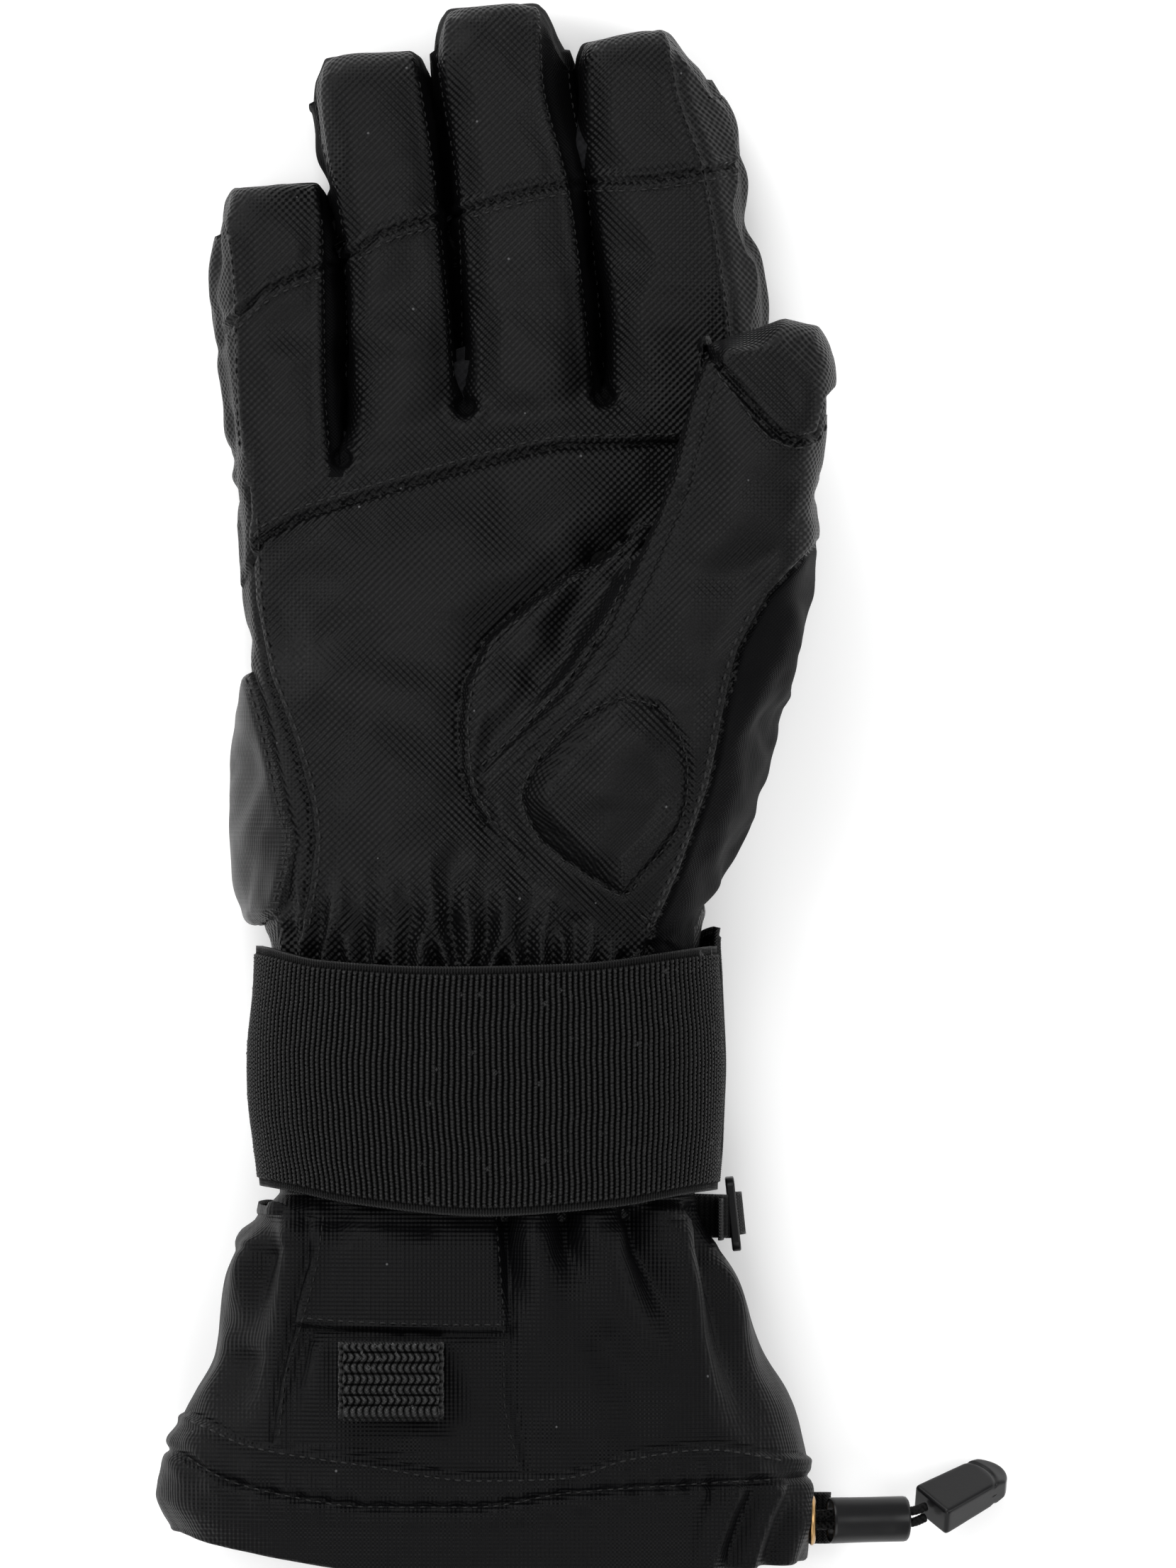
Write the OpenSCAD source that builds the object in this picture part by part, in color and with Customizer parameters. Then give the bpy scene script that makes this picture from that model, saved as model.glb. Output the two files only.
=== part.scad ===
// Insulated ski glove for the right hand, lying on its back with the palm up.
// +X points to the thumb side, +Y to the fingertips, +Z out of the palm.
// The origin is the middle of the glove's footprint, on the surface it lies on.

/* [Shell and padding] */
// Thickness of the outer shell fabric
shell_t = 1.0; // [0.8:0.1:1.1]
// Depth inside the outer face at which the wadding starts
wad_in = 2.0; // [1.9:0.1:2.2]
// Thickness of the wadding, with the waterproof film laminated to it
wad_t = 3.4; // [3.0:0.1:3.6]
// Clear gap between wadding and lining
lining_gap = 0.2; // [0.15:0.05:0.3]
// Thickness of the fleece lining
lining_t = 0.8; // [0.5:0.1:0.9]
// Gap left along every seam between two shell panels
seam_gap = 0.24; // [0.16:0.02:0.4]

/* [Finger joints] */
// Largest bend of a finger's end
finger_bend = 70; // [50:1:72]
// Largest bend of the thumb's end
thumb_bend = 45; // [30:1:47]
// Depth of each bending line below the palm face
bend_depth = 7.5; // [6:0.5:9]
// Gap across a bending line
bend_gap = 0.4; // [0.3:0.1:0.6]

/* [Wrist strap] */
// Thickness of the wide webbing
strap_t = 1.5; // [1.2:0.1:1.6]
// Depth of hook and loop pads between strap and wrist
strap_air = 1.9; // [1.8:0.1:2.0]
// Height above the floor of the line where the strap leaves the back of the wrist
strap_root_z = 26; // [24:1:28]
// Height above the floor of the strap's free end
strap_end_z = 14; // [12:1:18]

/* [Gauntlet] */
// Thickness of the gauntlet lining
cuff_lining_t = 0.8; // [0.6:0.1:1.0]
// Outer radius of the brass eyelet's flange
eyelet_flange_r = 5.1; // [4.8:0.1:5.2]
// Inner radius of the brass eyelet
eyelet_r = 2.7; // [2.6:0.1:3.0]
// Width of the pull loop's webbing
pull_w = 21; // [18:1:22]
// Length of the pull loop
pull_l = 17; // [14:1:18]
// Thickness of the pull loop's webbing
pull_t = 1.2; // [1.0:0.1:1.3]

/* [Drawcord] */
// Diameter of each elastic strand
cord_d = 2.0; // [1.8:0.1:2.1]
// Radius of the barrel lock
lock_r = 4.6; // [4.4:0.1:4.8]
// Length of the barrel lock
lock_l = 16; // [15:0.5:16.5]
// Length of the moulded cord end
end_l = 19; // [17:0.5:20]
// Width of the moulded cord end
end_w = 10; // [9:0.5:10.5]
// Thickness of the moulded cord end
end_t = 6.5; // [6:0.1:7]

/* [Hidden] */
black = [0.07, 0.07, 0.075];
dark = [0.11, 0.11, 0.12];
grey = [0.2, 0.2, 0.21];
soft = [0.55, 0.55, 0.5];

wad_out = wad_in + wad_t;
lin_in = wad_out + lining_gap;
lin_out = lin_in + lining_t;
big = 200;

// Each row of a loft: y, left x, right x, floor z, top z, squareness, slope of y along x, bow of y at the sides.
HAND = [
    [ 72,   -53,   54,   0,   31, 3.2, 0.17, 0],
    [ 58,   -52,   54,   0,   33, 3.0, 0.12, 0],
    [ 44,   -51,   53,   0,   35, 2.9, 0.06, 0],
    [ 29,   -50.5, 50,   0,   37, 2.8, 0,    0],
    [ 15,   -52,   46,   0,   40, 2.7, 0,    0],
    [  1,   -52,   44,   0,   43, 2.6, 0,    0],
    [-14,   -52,   42.5, 0,   46, 2.5, 0,    0],
    [-26,   -50,   42,   0.5, 48, 2.5, 0,    0],
    [-33,   -45,   41,   3.4, 48, 2.4, 0,    1],
    [-58,   -46.5, 42,   3.4, 49, 2.4, 0,    1],
    [-88,   -44,   41,   3.4, 50, 2.4, 0,    1],
    [-93,   -52,   44.5, 0,   52, 2.4, 0,    0],
    [-100,  -55,   49,   0,   53, 2.3, 0,    0],
    [-114,  -56.5, 53,   0,   54, 2.3, 0,    0],
    [-127,  -62,   59.5, 0,   54, 2.3, 0,    2],
    [-139,  -66,   62,   0,   54, 2.3, 0,    5],
    [-151,  -68,   63,   0,   53, 2.3, 0,    8],
    [-158.2, -65,  62,   0,   52, 2.3, 0,    9]
];
INDEX = [
    [152,   18.5, 33.5, 5,   24,   3, 0, 0],
    [149.5, 16.5, 37,   2.5, 27,   3.4, 0, 0],
    [144,   16,   42.5, 1.5, 28.5, 3.8, 0, 0],
    [128,   17.5, 50,   1,   29.5, 4, 0, 0],
    [115,   19,   51.5, 1,   30,   4, 0, 0],
    [ 92,   21.5, 53.5, 1,   30.5, 4, 0, 0],
    [ 77,   22.1, 53,   1,   30.5, 4, 0, 0],
    [ 60,   25,   50,   4,   27,   3.4, 0, 0]
];
MIDDLE = [
    [158,   -9.5,  8.5,  5,   24,   3, 0, 0],
    [153,   -12,   12,   2.5, 27,   3.4, 0, 0],
    [147,   -12.2, 14.5, 1.5, 28.5, 3.8, 0, 0],
    [129,   -10,   16.5, 1,   29.5, 4, 0, 0],
    [111,   -8.5,  18.2, 1,   30,   4, 0, 0],
    [ 86,   -6.5,  20.5, 1,   30.5, 4, 0, 0],
    [ 73,   -6,    21,   1,   30.5, 4, 0, 0],
    [ 56,   -3,    18,   4,   27,   3.4, 0, 0]
];
RING = [
    [147.5, -33,   -16.5, 4,   24,   3, 0, 0],
    [142,   -34,   -13.8, 2,   28,   3.6, 0, 0],
    [129,   -33.4, -11.6, 1,   29,   4, 0, 0],
    [103,   -30.8, -9.3,  1,   29.5, 4, 0, 0],
    [ 80,   -30,   -7.2,  1,   30,   4, 0, 0],
    [ 68,   -30,   -7,    1,   30,   4, 0, 0],
    [ 52,   -27.5, -10,   4,   27,   3.4, 0, 0]
];
LITTLE = [
    [120.5, -54,   -37,   4,   24,   3, 0, 0],
    [116,   -55.5, -35.2, 2,   27.5, 3.6, 0, 0],
    [108,   -56,   -34.4, 1.5, 28.5, 4, 0, 0],
    [ 91,   -55,   -33.2, 1,   29,   4, 0, 0],
    [ 73,   -53.5, -31.6, 1,   29.5, 4, 0, 0],
    [ 62,   -52.5, -31,   1,   29.5, 4, 0, 0],
    [ 44,   -48.5, -33,   4,   27,   3.4, 0, 0]
];
// The thumb is drawn along +Y and then swung over the palm.
THUMB = [
    [121,  -6,    9,    41, 53,   3, 0, 0],
    [116,  -11,   12,   36, 58,   3.2, 0, 0],
    [108,  -13.5, 13.8, 33.5, 61, 3.2, 0, 0],
    [100,  -13,   15.3, 33, 62,   3, 0, 0],
    [ 86,  -12.5, 18.3, 31, 61.5, 2.8, 0, 0],
    [ 66,  -14,   21.2, 20, 60,   2.7, 0, 0],
    [ 45,  -18.5, 22.8, 8,  58,   2.6, 0, 0],
    [ 29,  -25,   22.3, 5,  56.5, 2.5, 0, 0],
    [ 14,  -29,   21.3, 5,  54,   2.4, 0, 0],
    [  0,  -22,   19,   6,  50,   2.3, 0, 0],
    [-10,  -12,   14,   10, 43,   2.2, 0, 0]
];
thumb_at = [22.2, -20.5, 0];
thumb_turn = -17;
FINGERS = [INDEX, MIDDLE, RING, LITTLE];
BEND_Y = [115, 111, 103, 91];
BEND_TOP = [30, 30, 29.5, 29];
thumb_bend_y = 92;
thumb_bend_z = 61.7 - bend_depth;

// Seam lines on the palm side.
PALM_SEAM = [[-75, 46], [-48.5, 46], [-47, 49.5], [-38.5, 54], [-25.5, 58], [-8, 63], [5, 66.5], [13.5, 68], [35, 68.5], [80, 69]];
THENAR_EDGE = [[31.5, -30], [22, -24], [9, -16.5], [-2, -8.5], [-5.5, -2.5], [-7, 3.5], [-7.5, 11.5], [-6.5, 20], [-2, 29.5], [5, 35.5], [13.5, 41.5], [26.5, 49.5], [45, 60]];
THUMB_LEFT = [[42, 85.5], [39, 78], [35, 60.5], [27.5, 43.5], [22, 31], [13.5, 19], [-4.5, 1.5]];
THUMB_RIGHT = [[31.5, -30], [37, -17.5], [43, 0], [45.5, 13], [49, 27], [55, 38], [65.5, 49.5], [80, 60]];
HYPO_SEAM = [[-50, 27.5], [-46, 18], [-41, 8.5], [-37.5, -4.5], [-37, -11.5], [-39.5, -28.5]];
THENAR_PAD = [[24.5, 17.5], [32.5, 15.5], [38, 6], [38.5, 0], [37, -7.5], [30.5, -16.5], [25.5, -22.5], [9, -11.5], [5, -2.5], [7.5, 3.5], [16, 13]];
CUFF_LEFT = [[-36, -88], [-37.5, -96.5], [-40.5, -107.5], [-43.5, -119], [-45, -131.5], [-46, -150]];
CUFF_RIGHT = [[1.5, -88], [3, -110], [3, -122.5], [6, -136], [8, -150]];
HEM_SEAM = [[-90, -124], [-62, -126.5], [-49, -131.5], [-26, -135], [-3.5, -138], [14, -137.5], [25.5, -134], [42.5, -132], [61, -135], [90, -138]];

// Route of the elastic strands, from inside the hem to the cord end's mouth.
CORD_A = [[57, -147.5, 20.2], [60, -147.5, 20], [64, -147.4, 19.5], [69, -147.3, 18.6], [75, -147.3, 17.4], [80, -147.2, 16.4], [84, -146.8, 15.4], [86.6, -146, 14]];
CORD_B = [[57, -149.6, 20.2], [60, -149.6, 20], [64, -149.6, 19.5], [69, -149.6, 18.6], [75, -149.6, 17.4], [80, -149.5, 16.4], [84, -149.1, 15.4], [86.4, -148.2, 14]];

function sgp(v, e) = sign(v) * pow(abs(v), e);
// One point of a loft's ring, moved inwards by off. The floor side is cut flat.
function ring_pt(r, off, t, wide) = let(
    a = max((r[2] - r[1]) / 2 - off, 1), cx = (r[1] + r[2]) / 2,
    cz = r[3] + wide * (r[4] - r[3]),
    b = sin(t) >= 0 ? max(r[4] - cz - off, 0.6) : max(cz - r[3] - off, 0.6) + 2,
    x = cx + a * sgp(cos(t), 2 / r[5]),
    z = max(cz + b * sgp(sin(t), 2 / r[5]), min(r[3] + off, cz - 0.6)),
    k = (x - cx) / ((r[2] - r[1]) / 2))
    [x, r[0] + r[6] * (x - cx) + r[7] * k * k * (k > 0 ? 0.3 : 1), z];
// A closed loft through rows, moved inwards by off. ext0 and ext1 lengthen its two ends.
module loft(rows, off, n = 24, wide = 0.4, ext0 = 0, ext1 = 0) {
    m = len(rows);
    // The first rows stay in order when the end moves inwards.
    rr = [for (i = [0:m - 1]) [for (k = [0:7]) k > 0 ? rows[i][k]
        : i == 0 ? rows[0][0] + ext0 - off
        : i == m - 1 ? rows[i][0] + off - ext1
        : min(rows[i][0], rows[0][0] - off - 0.4 * i)]];
    pts = [for (r = rr) for (j = [0:n - 1]) ring_pt(r, off, 360 * (j + 0.5) / n, wide)];
    mid0 = [(rr[0][1] + rr[0][2]) / 2, rr[0][0], (rr[0][3] + rr[0][4]) / 2];
    mid1 = [(rr[m - 1][1] + rr[m - 1][2]) / 2, rr[m - 1][0] + rr[m - 1][7] * 0.2, (rr[m - 1][3] + rr[m - 1][4]) / 2];
    polyhedron(
        points = concat(pts, [mid0, mid1]),
        faces = concat(
            [for (i = [0:m - 2]) for (j = [0:n - 1]) [i * n + j, (i + 1) * n + j, i * n + (j + 1) % n]],
            [for (i = [0:m - 2]) for (j = [0:n - 1]) [i * n + (j + 1) % n, (i + 1) * n + j, (i + 1) * n + (j + 1) % n]],
            [for (j = [0:n - 1]) [m * n, j, (j + 1) % n]],
            [for (j = [0:n - 1]) [m * n + 1, (m - 1) * n + (j + 1) % n, (m - 1) * n + j]]),
        convexity = 6);
}
// Keeps a boolean of lofts as one mesh.
module mesh() { resize([0, 0, 0]) union() children(); }

// The layers inside the shell have fewer sides, and so lie just inside it.
function sides(off, n, few) = off > shell_t + 0.05 ? few : n;
module hand(off, ext = 0) { loft(HAND, off, sides(off, 28, off < 1.7 ? 28 : 20), 0.4, 0, ext); }
module finger(i, off) { loft(FINGERS[i], off, sides(off, 16, 12), 0.5); }
module thumb(off) { translate(thumb_at) rotate([0, 0, thumb_turn]) loft(THUMB, off, sides(off, 20, 14), 0.5); }

// The space beyond a bending line at y, z: side 1 is the moving end, side -1 the fixed side.
module beyond(y, z, bend, side) {
    k = tan(bend / 2 + 2);
    s = side * bend_gap / 2;
    rotate([90, 0, 90]) translate([0, 0, -big / 2]) linear_extrude(big)
        polygon(side > 0
            ? [[y + s, -20], [y + s, z], [y + s + k * 40, z + 40], [y + 80, z + 40], [y + 80, -20]]
            : [[y + s, -20], [y + s, z], [y + s - k * 40, z + 40], [y + 120, z + 40], [y + 120, -20]]);
}
module finger_root(i, off) {
    difference() {
        finger(i, off);
        beyond(BEND_Y[i], BEND_TOP[i] - bend_depth, finger_bend, -1);
    }
}
module finger_end(i, off) {
    intersection() {
        finger(i, off);
        beyond(BEND_Y[i], BEND_TOP[i] - bend_depth, finger_bend, 1);
    }
}
module thumb_root(off) {
    difference() {
        thumb(off);
        translate(thumb_at) rotate([0, 0, thumb_turn]) beyond(thumb_bend_y, thumb_bend_z, thumb_bend, -1);
    }
}
module thumb_end(off) {
    intersection() {
        thumb(off);
        translate(thumb_at) rotate([0, 0, thumb_turn]) beyond(thumb_bend_y, thumb_bend_z, thumb_bend, 1);
    }
}
// A slab between two heights, and the space over a flat outline.
module slab(z0, z1) { translate([-big / 2, -big, z0]) cube([big, 2 * big, z1 - z0]); }
module over(pts, z0, z1) { translate([0, 0, z0]) linear_extrude(z1 - z0) offset(delta = -seam_gap / 2) polygon(pts); }
module rows_y(y0, y1) { translate([-big / 2, y0, -20]) cube([big, y1 - y0, 140]); }

// The whole outer fabric of palm and fingers, without the thumb.
module hand_shell(out = 0) {
    difference() {
        union() {
            hand(-out);
            if (out == 0) for (i = [0:3]) finger_root(i, 0);
        }
        hand(shell_t, 10);
        for (i = [0:3]) finger(i, shell_t);
        thumb(-0.15);
    }
}
module thumb_shell() {
    difference() {
        thumb_root(0);
        thumb(shell_t);
        hand(-0.2, 10);
    }
}
// Palm and thumb fabric together, for the panels that run from one to the other.
module full_shell() {
    difference() {
        union() { hand(0); thumb_root(0); }
        thumb(shell_t);
        hand(shell_t, 10);
    }
}
front_z = 25.8;
back_z = 6;
g = seam_gap / 2;

module palm_panel_upper() {
    color(dark) mesh() intersection() {
        hand_shell();
        over(concat(PALM_SEAM, [[80, 170], [-75, 170]]), front_z + g, 70);
    }
}
module palm_panel_lower() {
    color(dark) mesh() intersection() {
        hand_shell();
        over(concat([[-52, 45.8], [-48.5, 46], [-47, 49.5], [-38.5, 54], [-25.5, 58], [-8, 63], [5, 66.5], [13.5, 68], [35, 68.5], [60, 69], [45, 60], [26.5, 49.5], [13.5, 41.5], [5, 35.5], [-2, 29.5], [-6.5, 20], [-7.5, 11.5], [-7, 3.5], [-5.5, -2.5], [-2, -8.5], [9, -16.5], [22, -24], [31.5, -30], [31.5, -31], [-39.5, -31], [-39.5, -28.5], [-37, -11.5], [-37.5, -4.5], [-41, 8.5], [-46, 18], [-50, 27.5], [-56, 30], [-56, 45.8]]), front_z + g, 70);
    }
}
module hand_back_panel() {
    color(dark) mesh() intersection() {
        hand_shell();
        slab(-1, back_z - g);
        rows_y(-30.5, 170);
    }
}
module side_slab(pts) {
    intersection() {
        hand_shell();
        over(pts, back_z + g, front_z - g);
    }
}
module fourchette_little_ring() { color(black) mesh() side_slab([[-43, 60], [-44, 130], [-25, 130], [-20, 60]]); }
module fourchette_ring_middle() { color(black) mesh() side_slab([[-19.5, 60], [-24, 130], [1, 130], [7, 60]]); }
module fourchette_middle_index() { color(black) mesh() side_slab([[7.5, 60], [1.5, 130], [29, 130], [38, 60]]); }
module little_side_panel() { color(dark) mesh() side_slab([[-70, 27.5], [-44, 27.5], [-43.2, 60], [-44.2, 130], [-70, 130]]); }
module index_side_panel() { color(dark) mesh() side_slab([[38.2, 60], [29.2, 130], [70, 130], [70, 46], [40, 46]]); }
module hypothenar_pad() {
    color(grey) mesh() intersection() {
        hand_shell(0.8);
        over(concat([[-70, 27.5]], HYPO_SEAM, [[-39.5, -30.5], [-70, -30.5]]), back_z + g, 70);
    }
}
module thenar_panel() {
    color(dark) mesh() intersection() {
        full_shell();
        over(concat([for (i = [0:len(THENAR_EDGE) - 2]) THENAR_EDGE[i]], [[29, 48.5], [27.5, 43.5], [22, 31], [13.5, 19], [-4.5, 1.5], [-3.5, -4], [9, -14.5], [20, -21]]), front_z + g, 57);
    }
}
module thumb_cut(top) {
    translate(thumb_at) rotate([90, 0, 90 + thumb_turn]) translate([0, 0, -big / 2]) linear_extrude(big)
        polygon(top ? [[-40, 36 + g], [0, 36 + g], [90, 46 + g], [140, 46 + g], [140, 90], [-40, 90]]
                    : [[-60, -5], [-60, 36 - g], [0, 36 - g], [90, 46 - g], [140, 46 - g], [140, -5]]);
}
module thumb_front_panel() {
    color(dark) mesh() intersection() {
        full_shell();
        thumb_cut(true);
        over(concat([[60, 95]], THUMB_LEFT, [[-3.5, -4], [9, -14.5], [20, -21]], THUMB_RIGHT, [[80, 95]]), 26, 80);
    }
}
module thumb_back_panel() {
    color(black) mesh() union() {
        intersection() {
            full_shell();
            over(concat(THUMB_RIGHT, [[80, 45.5], [80, -30.5], [31.5, -30.5]]), back_z + g, 80);
        }
        intersection() {
            thumb_shell();
            thumb_cut(false);
            over([[80, 95], [50, 95], [36, 84], [25, 52], [29.5, 48.7], [50, 38], [80, 40]], back_z + g, 80);
        }
    }
}
module thenar_pad() {
    color(dark) mesh() intersection() {
        difference() { thumb(-2); thumb(-0.2); hand(-0.2); }
        over(THENAR_PAD, 38, 80);
    }
}
module body_layer(a, b) {
    difference() {
        union() { hand(a); for (i = [0:3]) finger_root(i, a); thumb_root(a); }
        hand(b, 10);
        for (i = [0:3]) finger(i, b);
        thumb(b);
        rows_y(-200, -84);
    }
}
module hand_wadding() { color(soft) mesh() body_layer(wad_in, wad_out); }
module hand_lining() { color(soft) mesh() body_layer(lin_in, lin_out); }

// The moving ends of the fingers, one after the other, and of the thumb.
module end_shell(i) { difference() { finger_end(i, 0); finger(i, shell_t); } }
module tip_patch(i) { color(dark) mesh() intersection() { end_shell(i); slab(23 + g, 70); } }
module end_back(i) { color(black) mesh() intersection() { end_shell(i); slab(-1, 23 - g); } }
module end_wadding(i) { color(soft) mesh() difference() { finger_end(i, wad_in); finger(i, wad_out); } }
module end_lining(i) { color(soft) mesh() difference() { finger_end(i, lin_in); finger(i, lin_out); } }
module thumb_end_shell() { difference() { thumb_end(0); thumb(shell_t); } }
module thumb_tip_patch() { color(dark) mesh() intersection() { thumb_end_shell(); slab(46 + g, 90); } }
module thumb_end_back() { color(black) mesh() intersection() { thumb_end_shell(); slab(-1, 46 - g); } }
module thumb_end_wadding() { color(soft) mesh() difference() { thumb_end(wad_in); thumb(wad_out); } }
module thumb_end_lining() { color(soft) mesh() difference() { thumb_end(lin_in); thumb(lin_out); } }

// Wrist.
module wrist_shell(a, b) { difference() { hand(a, 5); hand(b, 15); } }
module wrist_sleeve() { color(dark) mesh() intersection() { wrist_shell(0, shell_t); rows_y(-88, -31.3); } }
module wrist_elastic() { color(soft) mesh() intersection() { wrist_shell(shell_t + 0.2, wad_in - 0.2); rows_y(-40, -33); } }
module strap_zone() {
    over([[-80, -32], [-48, -33.7], [-25, -36], [0, -36.6], [25, -35.5], [44, -33], [80, -31.5], [80, -81], [44, -82], [25, -85], [0, -86.5], [-25, -85], [-46.5, -82], [-80, -80]], -20, 120);
}
module around(pts) { rotate([90, 0, 0]) translate([0, 0, -100]) linear_extrude(300) offset(delta = -0.1) polygon(pts); }
strap_out = strap_air + strap_t;
module wrist_strap() {
    color(grey) mesh() intersection() {
        wrist_shell(-strap_out, -strap_air);
        strap_zone();
        around([[0, strap_root_z], [80, strap_root_z], [80, 90], [-80, 90], [-80, strap_end_z], [0, strap_end_z]]);
    }
}
module strap_back_webbing() {
    color(grey) mesh() intersection() {
        wrist_shell(-strap_out, -strap_air);
        strap_zone();
        around([[0, strap_root_z], [80, strap_root_z], [80, -20], [-80, -20], [-80, strap_end_z - 4], [0, strap_end_z - 4]]);
    }
}
module strap_hook_patch() {
    color(black) mesh() intersection() {
        wrist_shell(0.1 - strap_air, -1.05);
        rows_y(-80, -38);
        around([[-80, strap_end_z], [-80, 38], [0, 38], [0, strap_end_z]]);
    }
}
module strap_loop_patch() {
    color(black) mesh() intersection() {
        wrist_shell(-0.95, -0.15);
        rows_y(-81, -37);
        around([[-80, strap_end_z - 4], [-80, 42], [0, 42], [0, strap_end_z - 4]]);
    }
}
// Narrow adjuster strap and its slider, on the thumb side just below the wide strap.
module adjuster_webbing() {
    color(black) translate([44.9, -92, 6]) cube([0.9, 8.6, 24]);
}
slider_z = 14.5;
module slider_frame() {
    difference() {
        cube([1.8, 15, 14], center = true);
        for (s = [-1, 1]) translate([0, 0, s * 3.1]) cube([4, 10, 3.4], center = true);
    }
}
module slider_buckle() {
    color(black) translate([47.7, -86.8, slider_z]) rotate([0, 0, 6]) slider_frame();
}
module adjuster_loop() {
    color(black) translate([47.7, -86.8, slider_z]) rotate([0, 0, 6]) rotate([90, 0, 0]) translate([0, 0, -4.4]) linear_extrude(8.8)
        difference() {
            translate([-0.7, -4.5]) square([3.1, 9]);
            translate([-2, -1.6]) square([3.1, 3.2]);
            translate([-2, -3.3]) square([3.3, 6.6]);
        }
}

// Gauntlet.
module cuff_shell(a = 0, b = shell_t) {
    difference() { hand(a); hand(b, 15); }
}
module cuff_part(pts, z0) {
    intersection() {
        cuff_shell();
        over(pts, z0, 90);
        over(concat(HEM_SEAM, [[90, -88.3], [-90, -88.3]]), -5, 90);
    }
}
module gauntlet_flap_panel() {
    color(black) mesh() cuff_part([[-36, -88], [-37.5, -96.5], [-40.7, -108.5], [-30, -109.8], [-10, -110], [2.9, -110], [1.5, -88]], 20);
}
module gauntlet_centre_panel() {
    color(black) mesh() cuff_part(concat([[2.9, -110], [-10, -110], [-30, -109.8], [-40.7, -108.5], [-43.5, -119], [-45, -131.5], [-46, -150]], [[8, -150], [6, -136], [3, -122.5]]), 20);
}
module gauntlet_left_panel() { color(black) mesh() cuff_part(concat(CUFF_LEFT, [[-90, -150], [-90, -88]]), back_z + g); }
module gauntlet_right_panel() { color(black) mesh() cuff_part(concat(CUFF_RIGHT, [[90, -150], [90, -88]]), back_z + g); }
module gauntlet_back_panel() {
    color(black) mesh() intersection() {
        cuff_shell();
        slab(-1, back_z - g);
        over(concat(HEM_SEAM, [[90, -88.3], [-90, -88.3]]), -5, 90);
    }
}
eyelet_at = [63, -148.5, 20];
module gauntlet_hem() {
    color(black) mesh() difference() {
        intersection() {
            cuff_shell(0, 1.6);
            over(concat([for (i = [len(HEM_SEAM) - 1:-1:0]) HEM_SEAM[i]], [[-90, -170], [90, -170]]), -5, 90);
        }
        translate(eyelet_at) rotate([0, 90, 0]) {
            cylinder(r = eyelet_r + 0.9, h = 20, center = true, $fn = 32);
            // Seats of the flange and of the washer.
            translate([0, 0, 0.15]) cylinder(r = eyelet_flange_r + 0.25, h = 6, $fn = 32);
            translate([0, 0, -12.85]) cylinder(r = eyelet_flange_r + 0.25, h = 10, $fn = 32);
        }
    }
}
module gauntlet_lining() {
    color(soft) mesh() difference() {
        intersection() {
            cuff_shell(2.2, 2.2 + cuff_lining_t);
            rows_y(-150, -94);
        }
        translate(eyelet_at) rotate([0, 90, 0]) cylinder(r = eyelet_flange_r + 1, h = 30, center = true, $fn = 32);
    }
}
// Brass eyelet through the hem: a flanged barrel outside and its washer inside.
module eyelet() {
    color([0.75, 0.55, 0.25]) translate(eyelet_at) rotate([0, 90, 0]) {
        rotate_extrude($fn = 48) polygon([[eyelet_r, -4], [eyelet_r + 0.7, -4], [eyelet_r + 0.7, 0.3], [eyelet_flange_r, 0.3], [eyelet_flange_r, 1.1], [eyelet_r, 1.1]]);
        translate([0, 0, -3.6]) rotate_extrude($fn = 48) polygon([[eyelet_r + 0.8, 0], [eyelet_flange_r, 0], [eyelet_flange_r, 0.6], [eyelet_r + 0.8, 0.6]]);
    }
}
module cord_anchor_tab() {
    color(black) translate([63.6, -153.5, 12.6]) rotate([0, 6, 0]) cube([3.6, 10.5, 1.8]);
}
// Pull loop: a folded band of webbing under the flap's edge.
pull_z = 56.6;
module pull_loop() {
    h = pull_t * 2 + 0.9;
    color(grey) translate([-31.5, -111, pull_z]) rotate([90, 0, 90]) linear_extrude(pull_w) difference() {
        hull() { translate([-h / 2, 0]) circle(d = h, $fn = 24); translate([-pull_l + h / 2, 0]) circle(d = h, $fn = 24); }
        hull() { translate([-h / 2, 0]) circle(d = 0.9, $fn = 24); translate([-pull_l + h / 2, 0]) circle(d = 0.9, $fn = 24); }
    }
}

// A round tube swept along a route, eight-sided.
function unit(v) = v / norm(v);
module tube(route, d) {
    m = len(route);
    n = 8;
    dirs = [for (i = [0:m - 1]) unit(route[min(i + 1, m - 1)] - route[max(i - 1, 0)])];
    pts = [for (i = [0:m - 1]) let(t = dirs[i], u = unit(cross(t, [0, 0, 1])), v = cross(u, t))
        for (j = [0:n - 1]) route[i] + d / 2 * (cos(360 * j / n) * u + sin(360 * j / n) * v)];
    polyhedron(points = pts, faces = concat(
        [for (i = [0:m - 2]) for (j = [0:n - 1]) [i * n + j, i * n + (j + 1) % n, (i + 1) * n + j]],
        [for (i = [0:m - 2]) for (j = [0:n - 1]) [i * n + (j + 1) % n, (i + 1) * n + (j + 1) % n, (i + 1) * n + j]],
        [[for (j = [n - 1:-1:0]) j]],
        [[for (j = [0:n - 1]) (m - 1) * n + j]]), convexity = 4);
}
module drawcord_a() { color(black) tube(CORD_A, cord_d); }
module drawcord_b() { color(black) tube(CORD_B, cord_d); }
// Barrel lock, open at the glove end, with an oval throat for the two strands.
module cord_lock() {
    color(grey) translate([75, -148.5, 17.4]) rotate([0, 90 + 11.5, 1]) difference() {
        cylinder(r = lock_r, h = lock_l, center = true, $fn = 48);
        translate([0, 0, -lock_l / 2 - 1]) cylinder(r = lock_r - 0.8, h = 5, $fn = 48);
        linear_extrude(lock_l + 2, center = true) square([3.2, 5.6], center = true);
    }
}
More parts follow.
